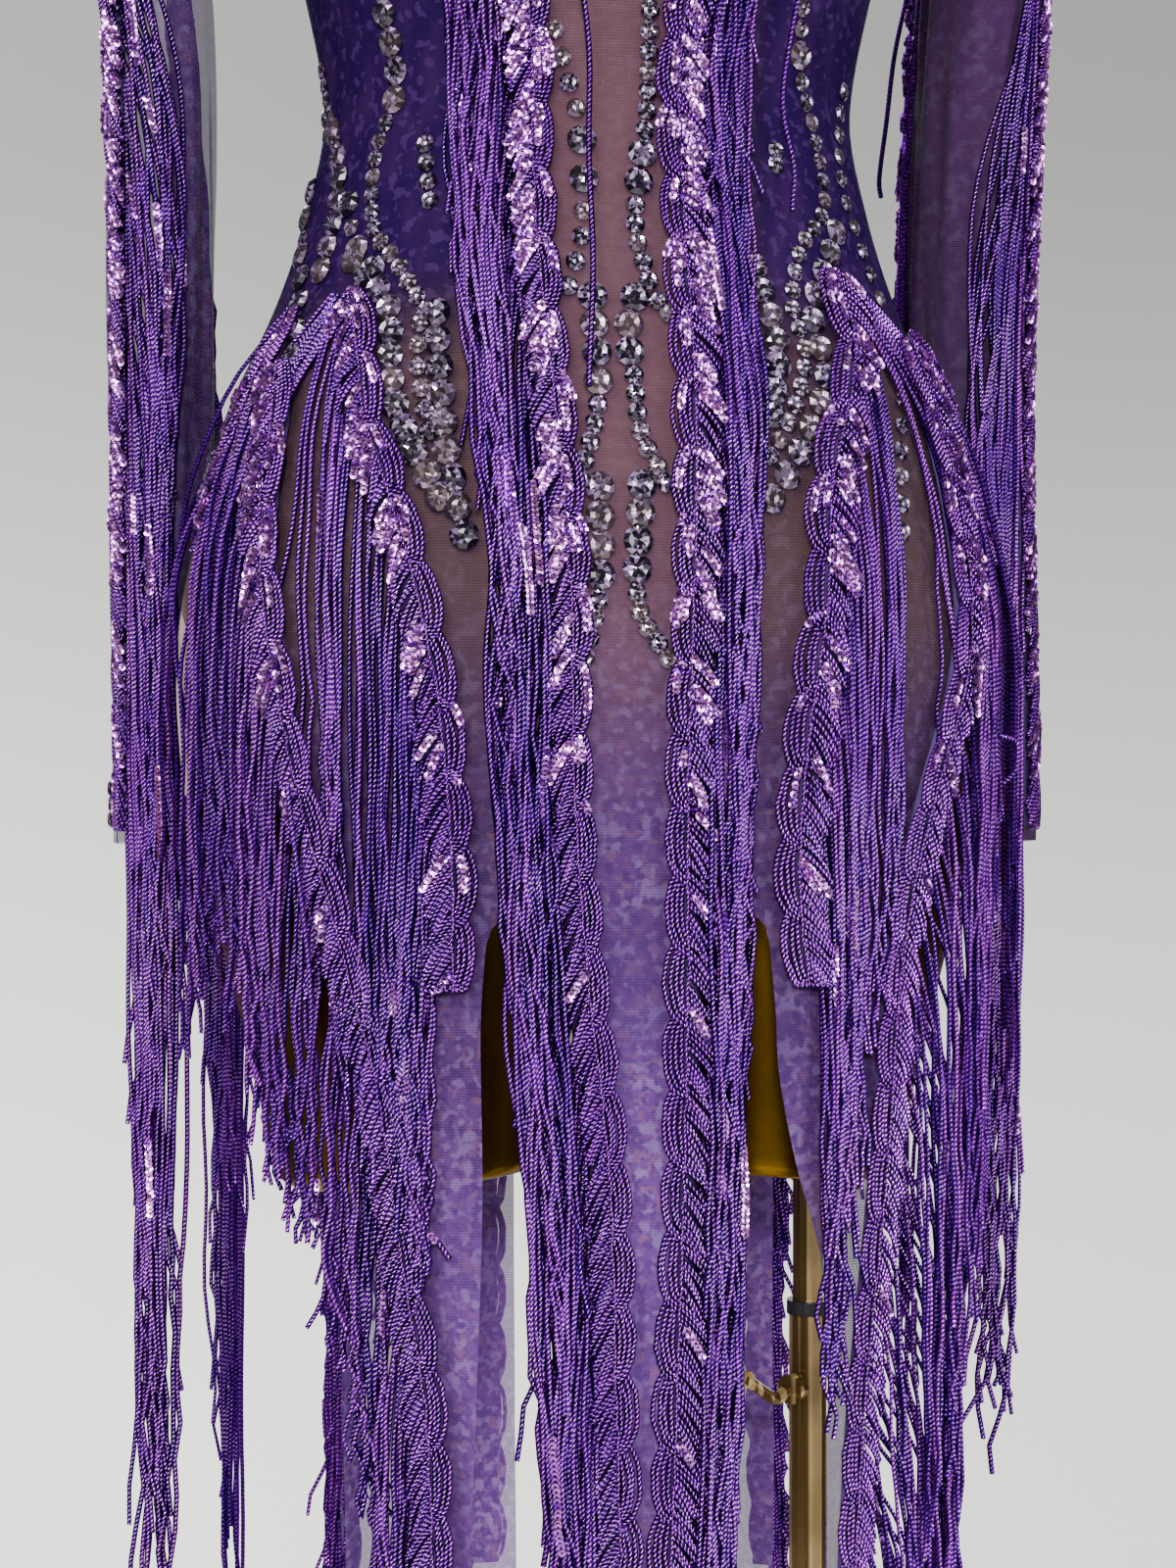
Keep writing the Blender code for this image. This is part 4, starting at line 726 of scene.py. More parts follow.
def mixed(tree, share, first, second):
    """A colour between two colours, each a value or a socket."""
    item = add_node(tree, "ShaderNodeMix", data_type="RGBA")
    feed(tree, item.inputs["Factor"], share)
    for socket, value in zip(item.inputs[6:8], (first, second)):
        feed(tree, socket, value if isinstance(value, bpy.types.NodeSocket) else (*value[:3], 1.0))
    return item.outputs[2]


def ranged(tree, value, low, high, to_low=0.0, to_high=1.0):
    """A value run smoothly from one range to another."""
    return add_node(tree, "ShaderNodeMapRange", {0: value, 1: low, 2: high, 3: to_low, 4: to_high},
                    interpolation_type="SMOOTHSTEP").outputs[0]


def object_place(tree):
    return add_node(tree, "ShaderNodeTexCoord").outputs["Object"]


def axes_of(tree, place):
    return add_node(tree, "ShaderNodeSeparateXYZ", {0: place}).outputs


def channels_of(tree, colour):
    return add_node(tree, "ShaderNodeSeparateColor", {0: colour}).outputs


def tone_channels(tree):
    """The channels of the tone that strands, sequins and facets carry."""
    return channels_of(tree, add_node(tree, "ShaderNodeAttribute", attribute_name="tone").outputs[0])


def stretched(tree, place, scales):
    return add_node(tree, "ShaderNodeMapping", {0: place, 3: scales}).outputs[0]


def noise(tree, place, scale, detail):
    """A noise texture's outputs: its value, then its colour."""
    return add_node(tree, "ShaderNodeTexNoise",
                    {"Vector": place, "Scale": scale, "Detail": detail}).outputs


def bumped(tree, height, distance):
    return add_node(tree, "ShaderNodeBump", {"Height": height, "Distance": distance}).outputs[0]


def new_group(name, inputs, numbers, colours=()):
    """An empty node group with its sockets: inputs with defaults, outputs for colours and numbers."""
    tree = bpy.data.node_groups.new(name, "ShaderNodeTree")
    for socket, value in inputs.items():
        kind = "NodeSocketFloat" if isinstance(value, float) else "NodeSocketColor"
        tree.interface.new_socket(socket, in_out="INPUT", socket_type=kind).default_value = value
    for kind, sockets in (("NodeSocketColor", colours), ("NodeSocketFloat", numbers)):
        for socket in sockets:
            tree.interface.new_socket(socket, in_out="OUTPUT", socket_type=kind)
    return tree, tree.nodes.new("NodeGroupInput").outputs, tree.nodes.new("NodeGroupOutput").inputs


def use_group(tree, group, **inputs):
    item = add_node(tree, "ShaderNodeGroup", node_tree=bpy.data.node_groups[group])
    connect(tree, item.inputs, **inputs)
    return item.outputs


def new_material(name, roughness, metallic=0.0, **extras):
    """A material, its tree and the inputs of its Principled shader, with even values on some."""
    material = bpy.data.materials.new(name)
    material.use_nodes = True
    tree = material.node_tree
    shader = tree.nodes["Principled BSDF"].inputs
    connect(tree, shader, Roughness=roughness, Metallic=metallic, **extras)
    return material, tree, shader


def bead_rope_group():
    """Twisted beads along a strand, from its UV map: a painted highlight dash on each, painted shade at
    the sides, a height.
    """
    tree, given, result = new_group("twisted beads", {"Pitch": 0.0019, "Tone": 0.5},
                                    ("Gleam", "Side", "Height", "Sparkle"))
    split = axes_of(tree, add_node(tree, "ShaderNodeUVMap", uv_map="strand").outputs[0])
    half = maths(tree, "FRACT", maths(tree, "MULTIPLY", split[0], 2.0))
    side = maths(tree, "MULTIPLY_ADD", half, 0.5, -0.25)
    shifted = maths(tree, "MULTIPLY_ADD", given["Tone"], TONE_SHIFT,
                    maths(tree, "DIVIDE", split[1], given["Pitch"]))
    twist = maths(tree, "MULTIPLY_ADD", side, BEAD_SLANT, shifted)
    wave = maths(tree, "SINE", maths(tree, "MULTIPLY", twist, math.tau))
    across = maths(tree, "ABSOLUTE", side)
    front = ranged(tree, across, 0.14, 0.05)
    bead = maths(tree, "FLOOR", maths(tree, "ADD", twist, 0.25))
    key = add_node(tree, "ShaderNodeCombineXYZ", {0: bead, 1: given["Tone"], 2: 0.0}).outputs[0]
    chance = add_node(tree, "ShaderNodeTexWhiteNoise", {0: key}, noise_dimensions="3D").outputs[0]
    # Outputs: the painted highlight dash on each bead, the painted shade on the tube's sides, the beads'
    # height and a random value for each bead.
    connect(tree, result, Gleam=maths(tree, "MULTIPLY", ranged(tree, wave, 0.0, 0.75), front),
            Side=ranged(tree, across, 0.09, 0.22), Height=wave, Sparkle=chance)


def power_mesh_group():
    """Fine ribs of the knit and a mottle of small soft patches, in object space."""
    tree, given, result = new_group(
        "stretch mesh", {"Knit Pitch": 0.001, "Blotch Size": 0.004,
                         **dict.fromkeys(("Main", "Dark", "Warm", "Light"), (0.3, 0.2, 0.5, 1.0))},
        ("Patch", "Knit"), ("Colour",))
    place = object_place(tree)
    blotches = noise(tree, place, maths(tree, "DIVIDE", 1.0, given["Blotch Size"]), 1.2)[1]
    parts = channels_of(tree, blotches)
    broad = noise(tree, place, 22.0, 3.0)[0]
    darker = mixed(tree, ranged(tree, parts[0], 0.58, 0.40), given["Main"], given["Dark"])
    warmer = mixed(tree, ranged(tree, parts[1], 0.54, 0.68), darker, given["Warm"])
    patch = ranged(tree, parts[2], 0.49, 0.66)
    lighter = mixed(tree, patch, warmer, given["Light"])
    waver = maths(tree, "MULTIPLY", maths(tree, "SUBTRACT", broad, 0.5), 6.0)
    rows = maths(tree, "DIVIDE", axes_of(tree, place)[2], given["Knit Pitch"])
    rib = maths(tree, "SINE", maths(tree, "ADD", maths(tree, "MULTIPLY", rows, math.tau), waver))
    connect(tree, result, Patch=patch, Knit=maths(tree, "MULTIPLY_ADD", rib, 0.5, 0.5),
            Colour=mixed(tree, ranged(tree, broad, 0.40, 0.66, 0.0, 0.45), lighter, given["Dark"]))


def soft_wear_group():
    """Soft cloudy variation and faint marks for metal, shell and floor, in object space."""
    tree, given, result = new_group("soft wear", {"Scale": 20.0}, ("Cloud", "Marks"))
    place = object_place(tree)
    cloud = noise(tree, place, given["Scale"], 4.0)[0]
    fine = noise(tree, place, maths(tree, "MULTIPLY", given["Scale"], 14.0), 2.0)[0]
    connect(tree, result, Cloud=ranged(tree, cloud, 0.3, 0.7), Marks=ranged(tree, fine, 0.45, 0.75))


def strand_material(name, settings, gap_shade_share, painted_gleam_share):
    """Beaded strands: violet to orchid, with painted shade at the sides and between beads, and a painted
    highlight dash on each.
    """
    material, tree, shader = new_material(name, 0.30, 1.0, Specular_Tint=BEAD_TINT)
    tone = tone_channels(tree)[0]
    beads = use_group(tree, "twisted beads", Pitch=settings.bead_pitch, Tone=tone)
    body = mixed(tree, ranged(tree, tone, 0.25, 0.95), settings.violet, settings.orchid)
    # Painted shade between the beads, where the beads' height is low, and on the tube's sides.
    between = mixed(tree, ranged(tree, beads["Height"], -0.9, 0.2, gap_shade_share, 0.0), body, settings.shade)
    shaded = mixed(tree, maths(tree, "MULTIPLY", beads["Side"], 0.78), between, settings.shade)
    # Painted highlights: the dash on each bead, stronger in broad bands over the dress and on random
    # beads.
    broad = noise(tree, object_place(tree), 16.0, 2.0)[0]
    lit = maths(tree, "MULTIPLY", ranged(tree, broad, 0.36, 0.62, 0.45, 1.0),
                ranged(tree, beads["Sparkle"], 0.0, 1.0, painted_gleam_share * 0.4, painted_gleam_share))
    glint = maths(tree, "MULTIPLY", beads["Gleam"], lit)
    connect(tree, shader, Base_Color=mixed(tree, glint, shaded, settings.gleam),
            Roughness=ranged(tree, beads["Sparkle"], 0.0, 1.0, 0.42, 0.20),
            Normal=bumped(tree, beads["Height"], 0.00045))
    return material


def sequin_material():
    """Flat sequins: pearly lilac to pink, with a small dark hole."""
    material, tree, shader = new_material("sequins", 0.18, 0.95, Specular_Tint=SEQUIN_TINT)
    place = add_node(tree, "ShaderNodeUVMap", uv_map="disc").outputs[0]
    radius = add_node(tree, "ShaderNodeVectorMath", {0: place}, operation="LENGTH").outputs["Value"]
    face = mixed(tree, tone_channels(tree)[0], SEQUIN_DEEP, SEQUIN_PALE)
    connect(tree, shader, Base_Color=mixed(tree, ranged(tree, radius, 0.24, 0.36), SEQUIN_HOLE, face))
    return material


def stone_material(settings):
    """Smoky faceted stones: the tone of each facet goes from the stone's own smoky dark to a painted
    bright reflection.
    """
    material, tree, shader = new_material("smoky stones", 0.06, 0.7, Coat_Weight=1.0,
                                          Coat_Roughness=0.03)
    tone, warmth, _ = tone_channels(tree)
    grey = mixed(tree, ranged(tree, tone, 0.30, 1.0), settings.dark, settings.bright)
    connect(tree, shader,
            Base_Color=mixed(tree, ranged(tree, warmth, 0.0, 1.0, 0.0, 0.35), grey, STONE_WARM))
    return material


def body_mesh_material(settings):
    """The dress's stretch mesh: sheer over the form, denser below the hips, violet at the waist, brighter
    toward the hem as painted light from behind.
    """
    material, tree, shader = new_material("stretch mesh", 0.7, Specular_IOR_Level=0.06)
    cloth = use_group(tree, "stretch mesh", Knit_Pitch=settings.knit_pitch,
                      Blotch_Size=settings.blotch_size, Main=(*settings.lilac, 1),
                      Dark=(*settings.plum, 1), Warm=(*settings.rose, 1), Light=(*settings.pale, 1))
    place = object_place(tree)
    sideways, _, height = axes_of(tree, place)
    beside = ranged(tree, maths(tree, "ABSOLUTE", sideways), *WAIST_SIDES)
    waist = maths(tree, "MULTIPLY", maths(tree, "MULTIPLY", beside, ranged(tree, height, *BELT_TOP)),
                  ranged(tree, height, *BUST_FOOT))
    streak = noise(tree, stretched(tree, place, (90.0, 90.0, 30.0)), 1.0, 2.0)[0]
    violet = mixed(tree, ranged(tree, streak, 0.35, 0.7, 0.0, 0.5), settings.waist, WAIST_STREAK)
    flecked = mixed(tree, ranged(tree, cloth["Patch"], 0.4, 1.0, 0.0, 0.35), violet, WAIST_FLECK)
    hips = mixed(tree, ranged(tree, cloth["Patch"], 0.2, 0.9, 0.0, 0.6), HIP_DARK, HIP_FLECK)
    sides = mixed(tree, maths(tree, "MULTIPLY", beside, 0.85), HIP_SIDE, hips)
    skin = mixed(tree, ranged(tree, height, *HIP_SHADE, 0.0, 0.80), cloth["Colour"], sides)
    # Painted light from behind: the hanging strips brightened toward the hem, the mesh above darker, and
    # darker toward the sides.
    backlight_and_sides = maths(tree, "MULTIPLY", ranged(tree, height, *SKIRT_BACKLIGHT, 1.62, 0.76),
                   maths(tree, "MULTIPLY_ADD", beside, -0.32, 1.0))
    shaded = add_node(tree, "ShaderNodeVectorMath", {0: skin, 3: backlight_and_sides}, operation="SCALE").outputs[0]
    sheer = maths(tree, "MULTIPLY_ADD", cloth["Knit"], 0.16, 0.60)
    denser = maths(tree, "MULTIPLY_ADD", ranged(tree, height, *DENSE_BELOW), 0.16, sheer)
    cover = maths(tree, "MINIMUM", maths(tree, "MULTIPLY_ADD", waist, 0.30, denser), 0.98)
    connect(tree, shader, Base_Color=mixed(tree, waist, shaded, flecked), Alpha=cover,
            Normal=bumped(tree, cloth["Knit"], KNIT_BUMP))
    return material


def sleeve_mesh_material(settings):
    """The sleeves' stretch mesh, greyer and sheer, darker and denser on the right one."""
    material, tree, shader = new_material("sleeve mesh", 0.7, Specular_IOR_Level=0.06)
    cloth = use_group(tree, "stretch mesh", Knit_Pitch=settings.knit_pitch,
                      Blotch_Size=settings.blotch_size * 1.3, Main=SLEEVE_MAIN,
                      Dark=(*settings.plum, 1), Warm=SLEEVE_WARM, Light=SLEEVE_LIGHT)
    right = ranged(tree, axes_of(tree, object_place(tree))[0], -0.05, 0.05)
    sheer = maths(tree, "MULTIPLY_ADD", cloth["Knit"], 0.14, 0.44)
    connect(tree, shader, Alpha=maths(tree, "MULTIPLY_ADD", right, 0.36, sheer),
            Base_Color=mixed(tree, maths(tree, "MULTIPLY", right, 0.8), cloth["Colour"], SLEEVE_DARK),
            Normal=bumped(tree, cloth["Knit"], KNIT_BUMP))
    return material


def jersey_material(settings):
    """The form's tight jersey cover."""
    material, tree, shader = new_material("form jersey", 0.85, Sheen_Weight=0.3)
    cloud = use_group(tree, "soft wear", Scale=9.0)["Cloud"]
    weave = add_node(tree, "ShaderNodeTexWave", {"Vector": object_place(tree), "Scale": 420.0,
                                                 "Distortion": 1.5}, bands_direction="Z").outputs[1]
    connect(tree, shader, Normal=bumped(tree, weave, 0.0001),
            Base_Color=mixed(tree, ranged(tree, cloud, 0.0, 1.0, 0.0, 0.25), settings.jersey,
                             JERSEY_SHADE))
    return material


def metal_material(name, colour, shade, roughness, scale, reflection_stripes=0.0):
    """Polished metal with soft clouding and faint marks, and, if asked for, long dark stripes painted on
    as reflections of the room.
    """
    material, tree, shader = new_material(name, roughness, 1.0 - 0.3 * reflection_stripes)
    marks = use_group(tree, "soft wear", Scale=scale)
    clouded = mixed(tree, ranged(tree, marks["Cloud"], 0.0, 1.0, 0.0, 0.35), colour, shade)
    # Painted reflection: long dark stripes down the metal, as of a dark room reflected in it.
    streak = noise(tree, stretched(tree, object_place(tree), (170.0, 170.0, 0.8)), 1.0, 1.0)[0]
    connect(tree, shader,
            Base_Color=mixed(tree, ranged(tree, streak, 0.53, 0.47, 0.0, reflection_stripes), clouded, shade),
            Roughness=ranged(tree, marks["Marks"], 0.0, 1.0, roughness, roughness + 0.03))
    return material


def plain_material(name, colour, shade, roughness, scale):
    """Rubber, tape and floor: an even colour with soft clouding."""
    material, tree, shader = new_material(name, roughness)
    marks = use_group(tree, "soft wear", Scale=scale)
    connect(tree, shader, Normal=bumped(tree, marks["Marks"], 0.0001),
            Base_Color=mixed(tree, ranged(tree, marks["Cloud"], 0.0, 1.0, 0.0, 0.5), colour, shade))
    return material


# ---------------------------------------------------------------- form and stand
FORM_STEPS = 96
END_DRAW = 0.003            # how far the ends of the form's shells are drawn in
TORSO_EDGE, THIGH_EDGE = 0.004, 0.005       # heights of the small rounds at their ends
TORSO_STEP, THIGH_STEP = 0.006, 0.005
CUT_REACH = 0.06            # the slope of a thigh's cut fades out over this height


def ring_faces(rings, sides):
    """Quads between rings of points that run upward, each counterclockwise seen from above."""
    level, side = np.meshgrid(np.arange(rings - 1), np.arange(sides), indexing="ij")
    low, following = level * sides + side, level * sides + (side + 1) % sides
    return np.stack((low, following, following + sides, low + sides), axis=-1).reshape(-1, 4).tolist()


def closed_loft(name, rings, material):
    """A closed body through rings of points, lowest first, with flat ends."""
    count, sides, _ = rings.shape
    faces = ring_faces(count, sides)
    faces += [list(reversed(range(sides))), list(range((count - 1) * sides, count * sides))]
    item = mesh_object(name, rings, faces, [material])
    for end in item.data.polygons[-2:]:
        end.use_smooth = False
    return item


def shell_rings(table, low, high, edge, step):
    """Heights and rings of a closed body from low to high, with a small round at each end."""
    heights = np.concatenate((low + edge * np.linspace(0, 1, 6)[:-1] ** 2,
                              np.arange(low + edge, high - edge, step),
                              high - edge * np.linspace(1, 0, 6) ** 2))
    near = np.clip(np.minimum(heights - heights[0], heights[-1] - heights) / edge, 0, 1)
    drawn = END_DRAW * (1 - np.sqrt(np.clip(1 - (1 - near) ** 2, 0, 1)))
    sizes = [(smooth_column(table, field, heights) - drawn)[:, None] for field in SIZE_FIELDS]
    turns = np.linspace(0, 360, FORM_STEPS, endpoint=False)
    return heights, oval_point(turns[None], *sizes, heights[:, None])


class DRESS_OT_form(bpy.types.Operator):
    """Covered torso with its neck cap, and the two gold thigh ends"""
    bl_idname = "dress.form"
    bl_label = "Dress Form"

    def execute(self, context):
        settings = context.scene.dress_form
        self.build_torso(jersey_material(settings))
        gold = metal_material("gold shell", settings.gold, GOLD_SHADE, 0.26, 3.0)
        for name, side in (("thigh_left", -1), ("thigh_right", 1)):
            self.build_thigh(name, side, gold)
        return {"FINISHED"}

    def build_torso(self, material):
        """The torso from its cut at the thighs up to the neck cap."""
        low, high = (corner[2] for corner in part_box("form_torso"))
        _, rings = shell_rings(FORM_RINGS, low, high, TORSO_EDGE, TORSO_STEP)
        finish_piece(closed_loft("torso_cover", rings, material), "form_cover", "form_torso")

    def build_thigh(self, name, side, material):
        """A thigh end, cut lower toward its outside."""
        top, cut = THIGH_RINGS[0], THIGH_RINGS[-1]
        heights, rings = shell_rings(THIGH_RINGS, cut.height, top.height, THIGH_EDGE, THIGH_STEP)
        rings[..., 0] += side * smooth_column(THIGH_RINGS, "middle_x", heights)[:, None]
        drop = (np.abs(rings[..., 0]) - cut.middle_x) * THIGH_CUT_SLOPE
        rings[..., 2] -= drop * ease(1 - (heights[:, None] - cut.height) / CUT_REACH)
        finish_piece(closed_loft(name + "_shell", rings, material), "gold_shell", "form_" + name)


class DRESS_OT_stand(bpy.types.Operator):
    """Metal and rubber of the pole, its clamp and the round base"""
    bl_idname = "dress.stand"
    bl_label = "Stand"

    def execute(self, context):
        colour = context.scene.dress_form.brass
        # The pole's brass gets long dark stripes painted on as reflections.
        brass = metal_material("polished brass", colour, BRASS_SHADE, 0.18, 30.0, reflection_stripes=0.95)
        plate = metal_material("base plate brass", PLATE, PLATE_SHADE, 0.28, 12.0)
        rubber = plain_material("black rubber", RUBBER, RUBBER_SHADE, 0.45, 60.0)
        pole = "pole_socket", "pole_lower_tube", "pole_upper_tube", "clamp_boss", "clamp_handle"
        for material, names in ((brass, pole), (plate, ("base_plate",)), (rubber, ("pole_grip_ring",))):
            for name in names:
                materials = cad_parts[name].data.materials
                materials.clear()
                materials.append(material)
        return {"FINISHED"}


# ---------------------------------------------------------------- cloth
GRID_STEP = 0.008
STRIP_COLUMNS = 14
SLIT_COLUMNS = 9
SIDE_COLUMNS = 12
SLEEVE_STEPS = 72
SLEEVE_RINGS = 110
Trough = namedtuple("Trough", "depth per_turn per_height")      # a wave: its angle grows with both
STRIP_TROUGHS = rows_of(Trough, (0.0022, 21, 900), (0.0012, 9, -500))
STRIP_EASE = 0.12           # drop over which a strip's troughs grow to their depth
CREASES = rows_of(Trough, (1.0, 9, 60), (0.7, 14, -85))         # along a sleeve, by its table's rows
CREASE_DEPTH, CREASE_SINK = 0.0011, 0.0012


def trough_wave(trough, turn, height):
    return np.cos(np.radians(turn * trough.per_turn + height * trough.per_height))


def armhole_share(height):
    """How far a panel reaches round at the armhole, as a share of the way to the side seam."""
    rise = (height - ARMHOLE_MIDDLE) / ARMHOLE_HALF_HEIGHT
    return 1 - ARMHOLE_DEPTH * np.sqrt(np.clip(1 - rise**2, 0, 1))


def seam_turn(height):
    """The turn of the side seam that leaves half of its gap."""
    _, front, back = FRONT.sizes(height)
    return np.degrees(np.arccos((SEAM_GAP / 2 / np.minimum(front, back)) ** (ROUNDNESS / 2)))


def hem_columns(row, strips):
    """Turn, lowest height and strip of every column of a panel, from -X to +X."""
    side_turns = np.linspace(90, -row.left_outer, SIDE_COLUMNS + 1)[:-1]
    lower_edge = sorted((turn, height) for height, turn in SIDE_HEM)
    side = [(turn, smooth_value(lower_edge, turn), None) for turn in side_turns]
    columns = [(-turn, bottom, strip) for turn, bottom, strip in side]
    for index, (first, last) in enumerate(strips):
        start, end = getattr(row, first), getattr(row, last)
        if index:
            gap_start = columns[-1][0]
            for share in np.linspace(0, 1, SLIT_COLUMNS + 2)[1:-1]:
                arch = math.sqrt(1 - (2 * share - 1) ** 2)
                columns.append((gap_start + (start - gap_start) * share,
                                STRIP_TOP + (SLIT_TOP - STRIP_TOP) * arch, None))
        columns += [(turn, STRIP_TOP, index) for turn in np.linspace(start, end, STRIP_COLUMNS)]
    return columns + [(turn, bottom, strip) for turn, bottom, strip in reversed(side)]


def panel_rows():
    armhole = ARMHOLE_MIDDLE + ARMHOLE_HALF_HEIGHT * np.cos(np.linspace(0, np.pi, 29))
    return np.concatenate((np.linspace(NECK_HEIGHT, armhole[0], 7)[:-1], armhole,
                           np.arange(armhole[-1] - GRID_STEP, BEND_HEIGHT, -GRID_STEP),
                           np.linspace(BEND_HEIGHT, STRIP_TOP, 30)))


def strip_sway(turn, height):
    """How far a hanging strip bends in from the body's line: soft lengthwise troughs."""
    share = ease((STRIP_TOP - height) / STRIP_EASE)
    return share * sum(trough.depth * (1 - trough_wave(trough, turn, height)) for trough in STRIP_TROUGHS)


def build_panel(name, surface, strip_rows, strips, material, node):
    """One panel: shoulders, armhole edges, body, lower edge and hanging strips."""
    columns = hem_columns(strip_rows[0], strips)
    turns, bottoms = (np.array([column[i] for column in columns]) for i in (0, 1))
    rows = panel_rows()
    drop = np.clip((BEND_HEIGHT - rows) / (BEND_HEIGHT - STRIP_TOP), 0, 1)[:, None]
    level = np.where(rows[:, None] < BEND_HEIGHT, BEND_HEIGHT - drop * (BEND_HEIGHT - bottoms),
                     rows[:, None])
    points = surface.point(turns * armhole_share(level) * seam_turn(level) / 90, level).reshape(-1, 3)
    width = len(columns)
    corner = (np.arange(len(rows) - 1)[:, None] * width + np.arange(width - 1)).ravel()
    faces = np.stack((corner, corner + width, corner + width + 1, corner + 1), axis=-1).tolist()
    parts, count = [points], len(points)
    for index, (first, last) in enumerate(strips):
        above = [(len(rows) - 1) * width + c for c, column in enumerate(columns) if column[2] == index]
        heights = np.arange(STRIP_TOP - GRID_STEP, HEM_HEIGHT, -GRID_STEP)
        edges = [smooth_column(strip_rows, field, heights)[:, None] for field in (first, last)]
        turn = edges[0] + (edges[1] - edges[0]) * np.linspace(0, 1, STRIP_COLUMNS)
        level = np.broadcast_to(heights[:, None], turn.shape)
        grid = surface.point(turn, level)
        grid = grid - surface.outward(grid) * strip_sway(turn, level)[..., None]
        parts.append(grid.reshape(-1, 3))
        for row in range(len(heights)):
            below = [count + row * STRIP_COLUMNS + step for step in range(STRIP_COLUMNS)]
            faces += [list(quad) for quad in zip(above, below, below[1:], above[1:])]
            above = below
        count += grid.size // 3
    if surface.facing < 0:
        faces = [face[::-1] for face in faces]
    item = mesh_object(name, np.concatenate(parts), faces, [material])
    finish_piece(item, "stretch_mesh", node)


def armhole_ring(side):
    """The sleeve's top edge, just inside the armhole that both panels leave open."""
    angle = np.linspace(0, math.tau, SLEEVE_STEPS, endpoint=False)
    up, ahead = side * np.sin(angle), np.cos(angle)
    edge = ARMHOLE_MIDDLE + ARMHOLE_HALF_HEIGHT * up
    turn = side * armhole_share(edge) * seam_turn(edge)
    turn = turn + side * np.abs(ahead) * ARMHOLE_EASE / FRONT.metres_per_degree(turn, edge)
    height = edge - ARMHOLE_EASE * up
    points = np.where((ahead >= 0)[:, None], FRONT.point(turn, height), BACK.point(turn, height))
    return points + FRONT.outward(points) * ARMHOLE_LIFT


def build_sleeve(name, surface, material, node):
    """A limp open tube with soft folds and fine lengthwise creases."""
    turns = np.linspace(0, 360, SLEEVE_STEPS, endpoint=False)
    top = armhole_ring(surface.side)
    first = surface.section(turns, np.zeros(SLEEVE_STEPS))
    rings = [top + (first - top) * share for share in np.linspace(0, 1, 6)[:-1]]
    for level in np.linspace(0, len(surface.rows) - 1, SLEEVE_RINGS):
        ring = surface.section(turns, np.full(SLEEVE_STEPS, level))
        share = ease((level - 2) / 4)
        crease = CREASE_DEPTH * share * sum(trough.depth * trough_wave(trough, turns, level)
                                            for trough in CREASES)
        rings.append(ring + surface.outward(ring) * (crease - CREASE_SINK * share)[:, None])
    faces = ring_faces(len(rings), SLEEVE_STEPS)
    item = mesh_object(name, np.stack(rings), [face[::-1] for face in faces], [material])
    finish_piece(item, "stretch_mesh", node)


class DRESS_OT_cloth(bpy.types.Operator):
    """Front and back panels and the two sleeves, in sheer mottled mesh"""
    bl_idname = "dress.cloth"
    bl_label = "Stretch Mesh"

    def execute(self, context):
        settings = context.scene.dress_cloth
        body = body_mesh_material(settings)
        arm = sleeve_mesh_material(settings)
        build_panel("front_cloth", FRONT, STRIP_ROWS, STRIPS, body, "front_panel")
        build_panel("back_cloth", BACK, BACK_STRIP_ROWS, BACK_STRIPS, body, "back_panel")
        build_sleeve("sleeve_left_cloth", LEFT_ARM, arm, "sleeve_left")
        build_sleeve("sleeve_right_cloth", RIGHT_ARM, arm, "sleeve_right")
        return {"FINISHED"}


# ---------------------------------------------------------------- fringe
STATIONS = 24               # points along a strand
DRIFT = 0.10                # drop over which a strand reaches its own place
CROWN_FAN = (0.038, 0.070)  # how far out the strands from a line's top drift, least and most
CROWN_FANS = {"front_hip_left": (0.026, 0.050), "front_hip_right": (0.022, 0.076)}
CROWN_DEPTH = (0.0005, 0.012)
TUCKED = {"front_hip_left": 0.35, "front_hip_right": 0.45}      # lift of strands that pass under a braid
ROOT_SPREAD = 0.0012
LENGTH_SPREAD = 0.045       # as a share of a strand's length
CLUMP_CHANCE = 0.25         # that a strand starts a new clump
CLUMP_GATHER = 0.72         # how far a clump's strands come together as they fall
CLUMP_STEP = 0.022          # by which the ends of clumps differ in height
END_STEP = 0.02             # the same for strands that reach the fringe's end
TIP_SPREAD = 0.0042
FINE_WAVE, FINE_GROWTH = 0.0003, 0.0012         # waves along a strand at its root, and added by its end
CURL, LOOSE_CURL = 0.0008, 0.0022               # of its lower part, and added on loose strands
ROOT_LIFT, LEAST_LIFT, LAYER_LIFT = 0.0016, 0.0012, 0.0058      # strands lie in layers over the cloth
LIFT_DROP = 0.060           # drop over which a strand reaches its layer
LIFT_WAVE = 0.0007
CROWN_LIFT, CROWN_DROP = 0.002, 0.030
HOLD_EASE = 0.04            # height over which strands let go of the body, round the hips

THREAD_SHARE = 0.86         # a braid's threads are this much as wide as a strand
ARCS = 4                    # nested loops on the free side of each leaf of the braid
ARC_POINTS, ROW_POINTS = 11, 7
CHAIN_SHARE = -0.25         # the chain between the two sides, as a share of the braid's width
CHAIN_WIDTH, CHAIN_THICK = 0.0011, 0.0010
LEAF_OVERLAP = 0.0035
ROW_PITCH = 0.0018          # of the slanted rows on the strands' side
ROW_DROPS = (0.011, 0.017)
ARC_LIFT, ROW_LIFT, CHAIN_LIFT = 0.0030, 0.0042, 0.0056
BRAID_RISE = {"front_edge_left": 0.0030, "front_edge_right": 0.0030}    # over the strands beside them
TAPE_WIDTH, TAPE_THICK, TAPE_STEP = 0.011, 0.0012, 0.012


